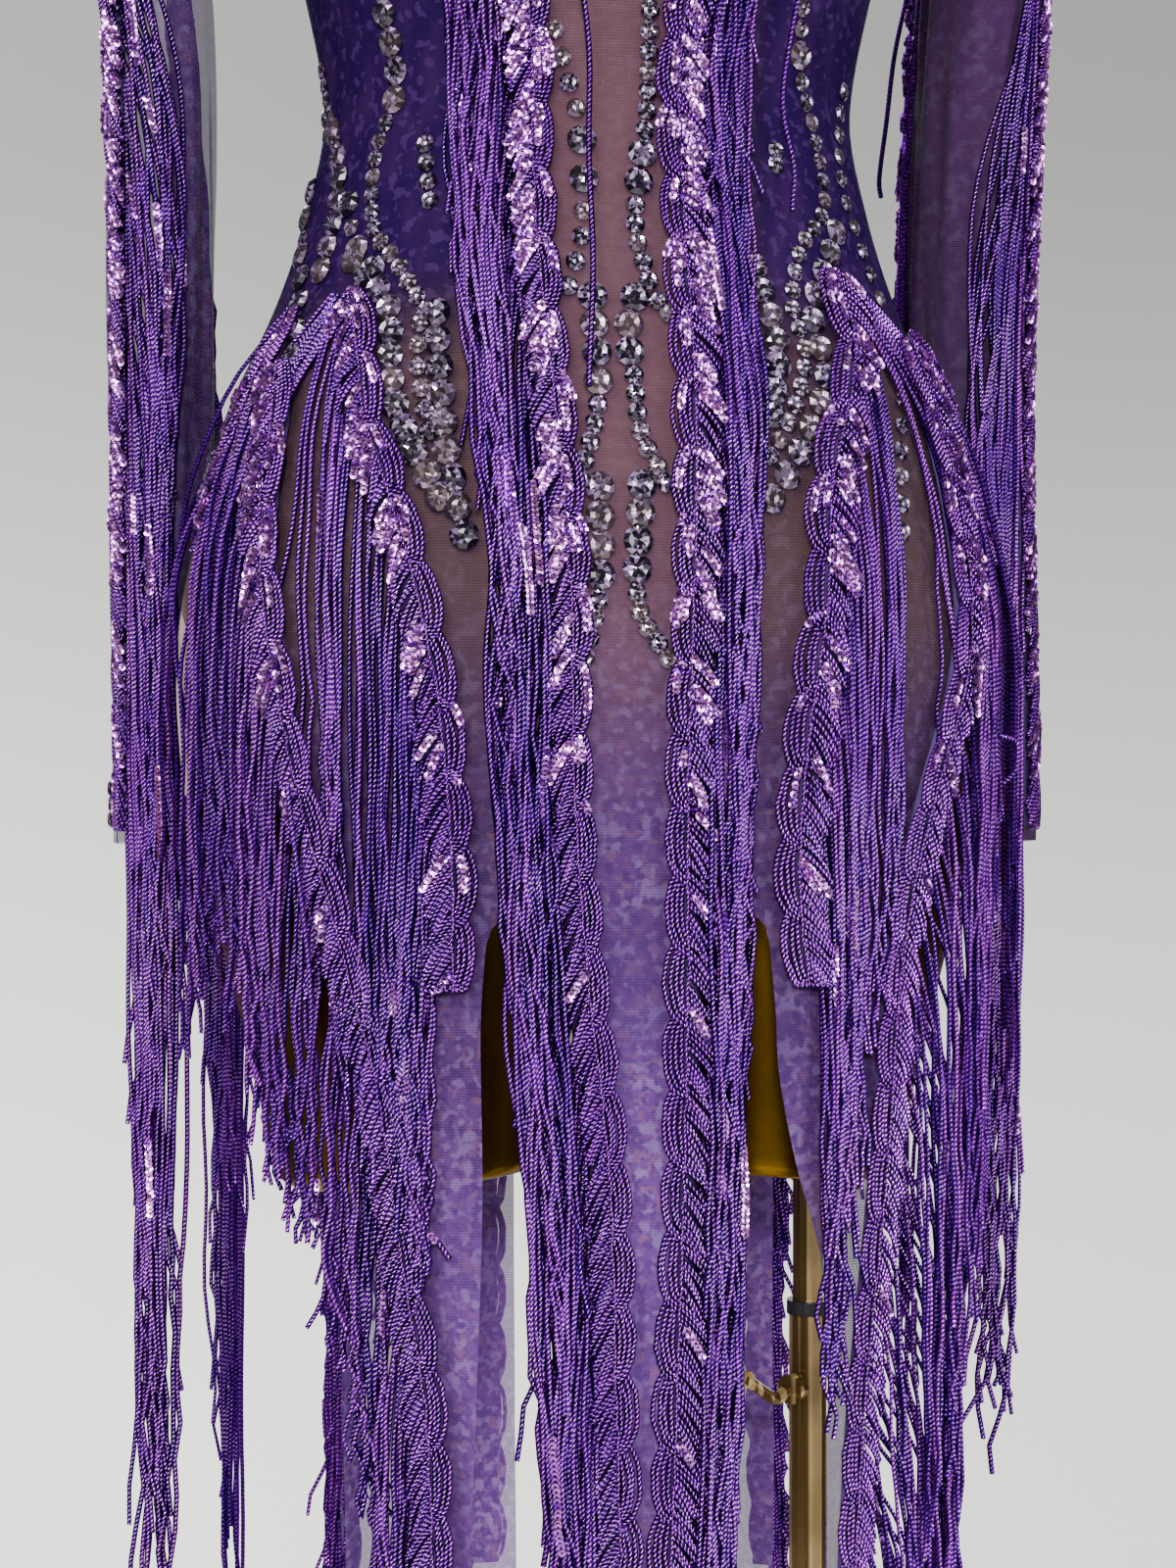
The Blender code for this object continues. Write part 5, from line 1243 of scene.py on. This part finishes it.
def route_turn(line, height):
    heights = np.array([point.height for point in line.route])
    fine = np.arange(heights.min(), heights.max() + PROFILE_STEP, PROFILE_STEP)
    return np.interp(height, fine, smooth_column(line.route, "turn", fine))


def on_line(line, across, height, lift):
    """Points and outward directions for places on a line of fringe."""
    across, height, lift = np.broadcast_arrays(across, height, lift)
    middle = route_turn(line, height)
    turn = middle + line.outward * across / line.carrier.metres_per_degree(middle, height)
    points = line.carrier.point(turn, height)
    away = line.carrier.outward(points)
    return points + away * lift[..., None], away


def leaf_knots(line, length):
    """Heights of the knots between the leaves of a line's braid, from the top down."""
    top, bottom = line.route[0].height, line.route[-1].height
    return np.linspace(top, bottom, max(2, round((top - bottom) / length)) + 1)


def add_braid(tubes, line, settings, rng):
    """The line's braid: nested loops on the free side, slanted rows on the other, a chain between.

    Returns the paths of the loops and of the rows, for the sequins that cover some of them."""
    knots = leaf_knots(line, settings.lobe_length)
    leaves = len(knots) - 1
    step = (knots[0] - knots[-1]) / leaves
    width = settings.strand_width * THREAD_SHARE
    chain = CHAIN_SHARE * line.braid
    rise = BRAID_RISE.get(line.name, 0.0)
    paths = []

    def add_threads(across, height, lift, thickness, darkest):
        path, away = on_line(line, across, np.clip(height, knots[-1], knots[0]), lift)
        tubes.add(path, away, thickness, thickness, rng.uniform(darkest, 1.0, len(path)), 1)
        paths.append((path, away))

    t = np.linspace(0, 1, ARC_POINTS)
    bulge = np.sin(np.pi * t) ** 0.45
    middle = ((knots[:-1] + knots[1:]) / 2)[:, None]
    for arc in range(ARCS):
        size = (arc + 1) / ARCS
        reach = (line.braid + chain) * size * rng.uniform(0.93, 1.07, leaves)[:, None]
        across = chain - reach * bulge + rng.normal(0, 0.0002, (leaves, ARC_POINTS))
        height = middle + (step / 2 + LEAF_OVERLAP) * (0.62 + 0.38 * size) * (1 - 2 * t)
        lift = rise + ARC_LIFT + 0.0010 * bulge * (1 - size) + 0.0012 * t
        add_threads(across, height, lift, width, 0.5)
    rows = max(8, round(step / ROW_PITCH))
    count = leaves * rows
    share = np.tile((np.arange(rows) + 0.5) / rows, leaves)
    start = np.repeat(knots[:-1], rows) - step * share + rng.normal(0, 0.0005, count)
    t = np.linspace(0, 1, ROW_POINTS)
    scallop = 0.62 + 0.38 * np.sin(np.pi * (share + 0.35) % np.pi)
    reach = (0.80 * line.braid - chain) * (scallop * rng.uniform(0.9, 1.1, count))[:, None]
    across = chain + reach * t**0.9
    drop = rng.uniform(*ROW_DROPS, count)[:, None] * t**1.1
    lift = rise + ROW_LIFT + 0.0016 * np.sin(np.pi * t * 0.8) + rng.uniform(0, 0.0012, count)[:, None]
    add_threads(across, start[:, None] - drop, lift, width * 0.9, 0.4)
    height = knots[:-1, None] - step * t
    path, away = on_line(line, chain + rng.normal(0, 0.0003, (leaves, ROW_POINTS)), height,
                         rise + CHAIN_LIFT)
    tubes.add(path, away, CHAIN_WIDTH, CHAIN_THICK, np.full(leaves, 1.0), 1)
    return paths


def add_tape(tubes, line):
    """The narrow tape that the beads are sewn to."""
    top, bottom = line.route[0].height, line.route[-1].height
    height = np.linspace(top, bottom, max(4, round((top - bottom) / TAPE_STEP)))
    path, away = on_line(line, 0.0, height, TAPE_THICK)
    tubes.add(path[None], away[None], TAPE_WIDTH, TAPE_THICK, np.array([0.0]), 2)


def hanging_paths(line, start, sideways, height):
    """Paths that lie on the body down to the hips and hang straight from there."""
    points, _ = on_line(line, start, height[:, 0], 0.0)
    paths = [points]
    for station in range(1, STATIONS):
        drift = line.outward * (sideways[:, station] - sideways[:, station - 1])
        points = points + line.carrier.forward(points) * drift[:, None]
        points[:, 2] = height[:, station]
        hold = line.carrier.hold * ease((height[:, station] - HIP_HEIGHT + HOLD_EASE / 2) / HOLD_EASE)
        points = line.carrier.settle(points, hold)
        points[:, 2] = height[:, station]
        paths.append(points)
    return np.stack(paths, axis=1)


def strand_paths(line, rng):
    """Paths of the hanging strands: out of the braid, drifting to their places as they fall."""
    top, bottom = line.route[0].height, line.route[-1].height
    count = max(3, round((top - bottom) * line.density))
    root = np.linspace(top - 0.001, bottom, count) + rng.normal(0, ROOT_SPREAD, count)
    root = np.concatenate((top - rng.uniform(*CROWN_DEPTH, line.crown), np.clip(root, bottom, top)))
    count = len(root)
    fan = smooth_column(line.strands, "fan", root) * rng.random(count) ** 0.8
    fan[:line.crown] = rng.uniform(*CROWN_FANS.get(line.name, CROWN_FAN), line.crown)
    clump = np.cumsum(rng.random(count) < CLUMP_CHANCE)
    clump_fan = np.array([fan[clump == c].mean() for c in clump])
    length = smooth_column(line.strands, "length", root) * rng.normal(1.0, LENGTH_SPREAD, count)
    end = np.maximum(root - length + rng.random(clump[-1] + 1)[clump] * CLUMP_STEP,
                     FRINGE_END + rng.uniform(0, END_STEP, count))
    drops = (root - end)[:, None] * np.linspace(0, 1, STATIONS)
    fall = drops / (root - end)[:, None]
    out = 1 - (1 - np.clip(drops / DRIFT, 0, 1)) ** 2
    start = line.braid * rng.uniform(0.45, 0.80, count)[:, None]
    gather = CLUMP_GATHER * ease((fall - 0.25) / 0.75) * (clump_fan - fan)[:, None]
    turns, phase = rng.uniform(1.5, 4.5, (2, count, 1)), rng.random((3, count, 1))
    loose = rng.random((count, 1)) ** 2
    wave = ((FINE_WAVE + FINE_GROWTH * fall) * np.sin(math.tau * (fall * turns[0] + phase[0]))
            + (CURL + LOOSE_CURL * loose) * ease((fall - 0.35) / 0.65)
            * np.sin(math.tau * (fall * turns[1] * 2.4 + phase[1])))
    tip = ease((fall - 0.84) / 0.16) * rng.normal(0, TIP_SPREAD, count)[:, None]
    sideways = fan[:, None] * out + gather + wave + tip
    height = root[:, None] - drops
    layer = rng.random(count)[:, None]
    lift = (ROOT_LIFT + (LEAST_LIFT + LAYER_LIFT * layer) * ease(drops / LIFT_DROP)
            + LIFT_WAVE * np.sin(math.tau * (fall * turns[1] + phase[2])))
    lift[:line.crown] += CROWN_LIFT * ease(drops[:line.crown] / CROWN_DROP)
    lift *= TUCKED.get(line.name, 1.0) * line.carrier.closeness
    along, along_away = on_line(line, start + sideways, height, lift)
    fallen = hanging_paths(line, start[:, 0], sideways, height)
    fallen_away = line.carrier.outward(fallen)
    fallen = fallen + fallen_away * lift[..., None]
    path = fallen + (along - fallen) * line.follow
    away = unit(fallen_away + (along_away - fallen_away) * line.follow)
    # The tone is random for each clump and strand, and painted darker on strands that lie deeper under
    # the others, as painted shade.
    tone = np.clip(0.5 * rng.random(clump[-1] + 1)[clump] + 0.5 * rng.random(count)
                   + 0.25 * (layer[:, 0] - 0.6), 0, 1)
    return path, away, tone


class Discs:
    """Collects small cupped discs for one mesh."""
    SIDES = 8
    CUP = 0.18                  # how far the middle is sunk, as a share of the radius

    def __init__(self):
        self.points, self.tones = [], []

    def add(self, middle, normal, along, radius, tone):
        """middle, normal and along are (discs, 3)."""
        normal = unit(normal)
        along = unit(along - normal * (along * normal).sum(-1, keepdims=True))
        across = np.cross(normal, along)
        angle = np.linspace(0, math.tau, self.SIDES, endpoint=False)
        rim = (middle[:, None] + radius * (np.cos(angle)[:, None] * along[:, None]
                                           + np.sin(angle)[:, None] * across[:, None]))
        centre = middle[:, None] - normal[:, None] * radius * self.CUP
        self.points.append(np.concatenate((centre, rim), axis=1))
        self.tones.append(tone)

    def build(self, name, material):
        points, tones = np.concatenate(self.points), np.concatenate(self.tones)
        count, size = len(points), self.SIDES + 1
        base = (np.arange(count) * size)[:, None]
        rim = np.arange(self.SIDES)
        faces = np.stack((base + 0 * rim, base + 1 + rim, base + 1 + (rim + 1) % self.SIDES),
                         axis=-1).reshape(-1, 3)
        item = mesh_object(name, points, faces, [material], smooth=False)
        angle = np.linspace(0, math.tau, self.SIDES, endpoint=False)
        circle = np.stack((np.cos(angle), np.sin(angle)), axis=-1)
        uvs = np.stack((np.zeros((self.SIDES, 2)), circle, np.roll(circle, -1, axis=0)), axis=1)
        layer = item.data.uv_layers.new(name="disc")
        layer.data.foreach_set("uv", np.tile(uvs.ravel(), count))
        colour = np.zeros((count, size, 4))
        colour[..., 0], colour[..., 3] = tones[:, None], 1
        add_tones(item.data, "POINT", colour)
        return item


def tilted(normal, amount, rng):
    return unit(normal + rng.normal(0, amount, normal.shape))


SEQUIN_STEP = 0.0020        # between neighbouring sequins on one thread
SEQUIN_LIFT = 0.0014        # over the middle of the thread
PATCH_LENGTH, RIBBON_LENGTH = (0.006, 0.02), (0.008, 0.045)
RIBBON_START = (0.01, 0.17) # along its strand
RIBBON_SHARE = 0.09         # of the strands that carry one
BARE_SHARE = 0.3            # of the threads inside a patch
PatchRow = namedtuple("PatchRow", "height share")       # how much of a braid sequins may cover
PATCH_ROWS = rows_of(PatchRow,
    (0.300, 0.02), (0.680, 0.03), (0.740, 0.10), (0.820, 0.34), (0.900, 0.62), (0.960, 0.55),
    (1.040, 0.70), (1.330, 0.75),
)


def thread_points(path, away, start, end):
    """Points and normals a sequin's step apart along one path, between two lengths along it."""
    length = np.concatenate(([0], np.cumsum(np.linalg.norm(np.diff(path, axis=0), axis=-1))))
    along = np.arange(start, min(length[-1], end), SEQUIN_STEP)
    return [np.stack([np.interp(along, length, column[:, axis]) for axis in range(3)], -1)
            for column in (path, away)]


def add_patch_sequins(discs, paths, settings, rng):
    """Sequins along the threads of some leaves of a braid, fewer below the hips."""
    for threads, outward in paths:
        phase = rng.random(4) * math.tau
        for path, away in zip(threads, outward):
            height = path[0, 2]
            likely = np.interp(height, *zip(*PATCH_ROWS))
            chance = (0.5 + 0.3 * math.sin(height * 150 + phase[0])
                      + 0.2 * math.sin(height * 410 + phase[1]))
            if chance > likely or rng.random() < BARE_SHARE:
                continue
            start = rng.uniform(0, 0.006)
            points, normal = thread_points(path, away, start, start + rng.uniform(*PATCH_LENGTH))
            if len(points):
                discs.add(points + normal * SEQUIN_LIFT, tilted(normal, 0.20, rng),
                          tilted(normal, 1.0, rng), settings.sequin_width / 2,
                          np.clip(rng.normal(0.5, 0.25, len(points)), 0, 1))


def add_ribbon_sequins(discs, path, away, settings, rng):
    """Flat sequins overlapping along a stretch of some strands."""
    for strand in np.flatnonzero(rng.random(len(path)) < RIBBON_SHARE):
        start = rng.uniform(*RIBBON_START)
        end = start + rng.uniform(*RIBBON_LENGTH)
        points, normal = thread_points(path[strand], away[strand], start, end)
        if not len(points):
            continue
        down = np.broadcast_to((0.0, 0.0, -1.0), points.shape)
        normal = unit(tilted(normal, 0.10, rng) + rng.normal(0, 0.22, 3))
        discs.add(points + normal * SEQUIN_LIFT, normal, down, settings.sequin_width / 2,
                  np.clip(rng.normal(0.5, 0.2) + rng.normal(0, 0.1, len(points)), 0, 1))


class DRESS_OT_fringe(bpy.types.Operator):
    """Lines of beaded fringe: tape, braid and hanging strands, and the sequins on them"""
    bl_idname = "dress.fringe"
    bl_label = "Beaded Fringe"

    def execute(self, context):
        settings = context.scene.dress_fringe
        materials = [strand_material("beaded strands", settings, 0.9, 0.95),
                     strand_material("beaded braid", settings, 1.0, 1.0),
                     plain_material("fringe tape", TAPE, TAPE_SHADE, 0.7, 40.0)]
        sequins = sequin_material()
        for line in LINES:
            rng = np.random.default_rng(line.seed)
            tubes, discs = Tubes(), Discs()
            add_tape(tubes, line)
            threads = add_braid(tubes, line, settings, rng)
            path, away, tone = strand_paths(line, rng)
            width = settings.strand_width * rng.uniform(0.88, 1.08, (len(path), 1))
            tubes.add(path, away, width, width * 0.92, tone, 0)
            item = tubes.build("beads_" + line.name, materials)
            finish_piece(item, "beaded_fringe", "fringe_" + line.name)
            add_patch_sequins(discs, threads, settings, rng)
            add_ribbon_sequins(discs, path, away, settings, rng)
            finish_piece(discs.build("sequins_" + line.name, sequins), "beaded_fringe")
        return {"FINISHED"}


# ---------------------------------------------------------------- stones
StoneRing = namedtuple("StoneRing", "radius height")
STONE_SIDES = 12
STONE_RINGS = rows_of(StoneRing, (0.96, 0.0), (1.0, 0.14), (0.68, 0.42), (0.36, 0.33))
TURNED_RING = 2             # the ring whose corners lie between those of the others
# The two triangles between one ring and the next, by the corners of their quad, for each ring.
STONE_CUTS = (((0, 1, 2), (0, 2, 3)), ((0, 1, 3), (1, 2, 3)), ((0, 2, 3), (0, 1, 2)))
STONE_EYE = 0.40            # height of the middle of the table
STONE_LIFT = 0.0003


def stone_shape():
    """Corners of a stone of radius 1 and its facets, cut so that they catch light differently."""
    points = []
    for level, ring in enumerate(STONE_RINGS):
        offset = 0.5 if level == TURNED_RING else 0.0
        for side in range(STONE_SIDES):
            angle = math.tau * (side + offset) / STONE_SIDES
            points.append((ring.radius * math.cos(angle), ring.radius * math.sin(angle), ring.height))
    points.append((0.0, 0.0, STONE_EYE))
    faces = []
    for level, cuts in enumerate(STONE_CUTS):
        low, high = level * STONE_SIDES, (level + 1) * STONE_SIDES
        for side in range(STONE_SIDES):
            following = (side + 1) % STONE_SIDES
            quad = low + side, low + following, high + following, high + side
            faces += [tuple(quad[corner] for corner in cut) for cut in cuts]
    inner = (len(STONE_RINGS) - 1) * STONE_SIDES
    faces += [(inner + side, inner + (side + 1) % STONE_SIDES, len(points) - 1)
              for side in range(STONE_SIDES)]
    return np.array(points), np.array(faces)


def chain_places(chain, surface, sizes):
    """Middles, normals and radii of a chain's stones, spread so that neighbours touch."""
    height, turn = (smooth_knots(chain.knots, axis, 60) for axis in (0, 1))
    points = surface.point(turn, height)
    length = np.concatenate(([0], np.cumsum(np.linalg.norm(np.diff(points, axis=0), axis=-1))))
    radius = np.array([sizes[letter] for letter in chain.stones]) / 2
    stops = np.concatenate(([0], np.cumsum(radius[1:] + radius[:-1])))
    stops *= length[-1] / max(stops[-1], 1e-6)
    turn, height = np.interp(stops, length, turn), np.interp(stops, length, height)
    middle = surface.point(turn, height)
    up = surface.point(turn, height + 0.004) - surface.point(turn, height - 0.004)
    normal = unit(np.cross(surface.forward(middle) * surface.facing, up))
    return middle, normal, radius


class DRESS_OT_stones(bpy.types.Operator):
    """Chains of smoky faceted stones on the front, the back and the left cuff"""
    bl_idname = "dress.stones"
    bl_label = "Stones"

    def execute(self, context):
        settings = context.scene.dress_stones
        sizes = {"L": settings.large, "M": settings.middling}
        material = stone_material(settings)
        front = [chain_places(chain, FRONT, sizes) for chain in FRONT_CHAINS]
        other_side = tuple(Chain(stones, mirrored(knots)) for stones, knots in BACK_CHAINS)
        back = [chain_places(chain, BACK, sizes) for chain in BACK_CHAINS + other_side]
        height, turn = np.transpose(CUFF_STONES)
        middle = LEFT_ARM.point(turn, height)
        cuff = [(middle, LEFT_ARM.outward(middle), np.full(len(height), settings.middling / 2))]
        for name, places in (("stones_front", front), ("stones_back", back), ("stones_cuff", cuff)):
            self.build(name, [np.concatenate(part) for part in zip(*places)], material)
        return {"FINISHED"}

    def build(self, name, places, material):
        """All the stones of one group as one mesh, with a tone for every facet that paints its reflection
        dark or bright.
        """
        middle, normal, radius = places
        rng = np.random.default_rng(len(middle))
        shape, facets = stone_shape()
        along = unit(np.cross(normal, (0.0, 0.0, 1.0)))
        across = np.cross(normal, along)
        spin = rng.random(len(middle)) * math.tau
        first = np.cos(spin)[:, None] * along + np.sin(spin)[:, None] * across
        second = np.cross(normal, first)
        base = middle + normal * STONE_LIFT
        scaled = shape[None] * radius[:, None, None]
        points = (base[:, None] + scaled[..., :1] * first[:, None] + scaled[..., 1:2] * second[:, None]
                  + scaled[..., 2:] * normal[:, None])
        faces = (np.arange(len(middle))[:, None, None] * len(shape) + facets[None]).reshape(-1, 3)
        item = mesh_object(name, points, faces, [material], smooth=False)
        item.data.uv_layers.new(name="stone")
        # Painted reflections: a random tone for each facet, a middling one for the table.
        tone = rng.random((len(middle), len(facets))) ** 1.6
        table = len(facets) - STONE_SIDES
        tone[:, table:] = 0.55 * rng.random((len(middle), 1)) + 0.25 * tone[:, table:]
        warm = np.broadcast_to(rng.random((len(middle), 1)) ** 2, tone.shape)
        colour = np.stack(np.broadcast_arrays(tone, warm, 0.0, 1.0), axis=-1)
        add_tones(item.data, "CORNER", np.repeat(colour.reshape(-1, 4), 3, axis=0))
        finish_piece(item, "beaded_fringe")


# ---------------------------------------------------------------- loose strands
# Strands that strayed from their line: knots of (height, turn, lift) on a surface.
STRAYS = (
    (FRONT, ((1.098, -14.5, 0.010), (1.104, -12.0, 0.016), (1.098, -8.5, 0.014), (1.070, -6.2, 0.008),
             (1.030, -6.0, 0.006), (0.985, -5.2, 0.006), (0.935, -5.4, 0.006))),
    (FRONT, ((1.110, 33.0, 0.012), (1.075, 31.5, 0.012), (1.052, 31.0, 0.010), (1.030, 32.5, 0.008),
             (1.012, 31.0, 0.006))),
    (FRONT, ((0.780, -44.0, 0.014), (0.700, -43.0, 0.013), (0.660, -46.0, 0.012), (0.640, -49.0, 0.012))),
    (FRONT, ((0.800, 56.0, 0.015), (0.797, 60.0, 0.018), (0.786, 62.0, 0.016), (0.780, 60.0, 0.013))),
    (RIGHT_ARM, ((1.150, -118.0, 0.006), (1.120, -112.0, 0.010), (1.090, -110.0, 0.012),
                 (1.065, -108.0, 0.014), (1.055, -104.0, 0.013))),
)


class DRESS_OT_strays(bpy.types.Operator):
    """A few strands that hang loose of their lines"""
    bl_idname = "dress.strays"
    bl_label = "Loose Strands"

    def execute(self, context):
        settings = context.scene.dress_fringe
        tubes = Tubes()
        for surface, knots in STRAYS:
            height, turn, lift = (smooth_knots(knots, axis, 8 * len(knots)) for axis in range(3))
            points = surface.point(turn, height)
            away = surface.outward(points)
            tubes.add((points + away * lift[:, None])[None], away[None], settings.strand_width,
                      settings.strand_width, np.array([0.5]))
        item = tubes.build("beads_loose", [bpy.data.materials["beaded strands"]])
        finish_piece(item, "beaded_fringe")
        return {"FINISHED"}


# ---------------------------------------------------------------- stage
AreaLight = namedtuple("AreaLight", "name place target size watts colour")
LIGHTS = rows_of(AreaLight,
    ("key_softbox", (-1.3, -2.2, 2.0), (0.0, 0.0, 0.85), 1.4, 75.0, (1.0, 0.98, 0.96)),
    ("fill_softbox", (1.7, -1.7, 1.3), (0.0, 0.0, 0.80), 1.4, 38.0, (0.96, 0.97, 1.0)),
    ("sparkle_lamp", (-0.35, -2.3, 1.35), (0.0, 0.0, 0.85), 0.20, 46.0, (1.0, 0.86, 0.97)),
    ("back_softbox", (0.4, 2.3, 1.9), (0.0, 0.0, 0.85), 1.6, 45.0, (1.0, 1.0, 1.0)),
    ("top_softbox", (0.0, -0.2, 3.0), (0.0, 0.0, 0.8), 1.6, 30.0, (1.0, 1.0, 1.0)),
)
SENSOR_WIDTH = 36.0         # in millimetres, as the lens is

# A bright part of the room: the way to it, and how near the way its soft edge starts and ends.
Window = namedtuple("Window", "way edge inside")
WINDOWS = rows_of(Window,
    ((-0.78, -0.58, 0.24), 0.90, 0.96), ((0.84, -0.50, 0.20), 0.90, 0.96),
    ((0.30, 0.92, 0.25), 0.90, 0.96), ((-0.21, -0.97, 0.05), 0.955, 0.975),
)
ROOM_LOW, ROOM_HIGH, WINDOW_LIGHT = (0.09, 0.08, 0.09), (0.34, 0.34, 0.36), (2.4, 2.3, 2.4)


class DRESS_OT_stage(bpy.types.Operator):
    """Camera, pale floor, plain backdrop and soft lights"""
    bl_idname = "dress.stage"
    bl_label = "Stage"

    def execute(self, context):
        settings = context.scene.dress_stage
        self.add_camera(settings)
        self.add_floor(settings)
        self.add_world(settings)
        for light in LIGHTS:
            self.add_light(light)
        return {"FINISHED"}

    def add_camera(self, settings):
        camera = bpy.data.cameras.new("camera")
        camera.lens = settings.lens
        camera.sensor_width = SENSOR_WIDTH
        item = link(bpy.data.objects.new("camera", camera))
        away = Vector((math.sin(settings.azimuth), -math.cos(settings.azimuth), 0.0))
        item.location = away * settings.distance + Vector((0, 0, settings.height))
        item.rotation_euler = (math.pi / 2, 0.0, settings.azimuth)
        bpy.context.scene.camera = item

    def add_floor(self, settings):
        bpy.ops.object.select_all(action="DESELECT")
        bpy.ops.mesh.primitive_circle_add(vertices=128, radius=settings.floor_radius, fill_type="NGON",
                                          location=(0, 0, 0))
        floor = bpy.context.object
        floor.name = "floor"
        floor.data.materials.append(plain_material("pale floor", FLOOR, FLOOR_SHADE, 0.6, 2.0))

    def add_world(self, settings):
        """A pale backdrop for the camera, and a dimmer room for light and reflections."""
        world = bpy.data.worlds.new("pale room")
        world.use_nodes = True
        bpy.context.scene.world = world
        tree = world.node_tree
        room = tree.nodes["Background"]
        place = add_node(tree, "ShaderNodeTexCoord").outputs["Generated"]
        across, _, up = axes_of(tree, place)
        shade = mixed(tree, ranged(tree, up, -0.4, 0.7), ROOM_LOW, ROOM_HIGH)
        for window in WINDOWS:
            toward = add_node(tree, "ShaderNodeVectorMath", {0: place, 1: window.way},
                              operation="DOT_PRODUCT").outputs["Value"]
            shade = mixed(tree, ranged(tree, toward, window.edge, window.inside), shade, WINDOW_LIGHT)
        connect(tree, room.inputs, Color=shade, Strength=0.6)
        light = maths(tree, "MULTIPLY", ranged(tree, up, 0.30, -0.30, 0.62, 2.10),
                      ranged(tree, across, -0.20, 0.40, 1.12, 0.78))
        glow = add_node(tree, "ShaderNodeVectorMath", {0: settings.backdrop, 3: light},
                        operation="SCALE").outputs[0]
        wall = add_node(tree, "ShaderNodeBackground", {0: glow, 1: 1.0})
        seen = add_node(tree, "ShaderNodeLightPath").outputs["Is Camera Ray"]
        both = add_node(tree, "ShaderNodeMixShader", {0: seen, 1: room.outputs[0], 2: wall.outputs[0]})
        connect(tree, tree.nodes["World Output"].inputs, Surface=both.outputs[0])

    def add_light(self, light):
        data = bpy.data.lights.new(light.name, "AREA")
        data.shape = "DISK"
        data.size = light.size
        data.energy = light.watts
        data.color = light.colour
        item = link(bpy.data.objects.new(light.name, data))
        item.location = light.place
        way = Vector(light.target) - Vector(light.place)
        item.rotation_euler = way.to_track_quat("-Z", "Y").to_euler()


# ---------------------------------------------------------------- add-on
class DRESS_PT_panel(bpy.types.Panel):
    """The dress's pieces, in the order that they are made"""
    bl_idname = "DRESS_PT_panel"
    bl_label = "Dance Dress"
    bl_space_type = "VIEW_3D"
    bl_region_type = "UI"
    bl_category = "Dance Dress"

    def draw(self, context):
        for operator in OPERATORS:
            self.layout.operator(operator.bl_idname)


SETTINGS = {
    "dress_cloth": DressClothSettings, "dress_fringe": DressFringeSettings,
    "dress_stones": DressStoneSettings, "dress_form": DressFormSettings,
    "dress_stage": DressStageSettings,
}
OPERATORS = (DRESS_OT_stage, DRESS_OT_form, DRESS_OT_stand, DRESS_OT_cloth, DRESS_OT_fringe,
             DRESS_OT_strays, DRESS_OT_stones)


def register():
    for kind in (*SETTINGS.values(), *OPERATORS, DRESS_PT_panel):
        bpy.utils.register_class(kind)
    for name, kind in SETTINGS.items():
        setattr(bpy.types.Scene, name, bpy.props.PointerProperty(type=kind))


def unregister():
    for name in SETTINGS:
        delattr(bpy.types.Scene, name)
    for kind in reversed((*SETTINGS.values(), *OPERATORS, DRESS_PT_panel)):
        bpy.utils.unregister_class(kind)


def main():
    """Makes the shared node groups, then every piece."""
    register()
    for make_group in (bead_rope_group, power_mesh_group, soft_wear_group):
        make_group()
    for operator in OPERATORS:
        section, name = operator.bl_idname.split(".")
        getattr(getattr(bpy.ops, section), name)()


if __name__ == "__main__":
    main()
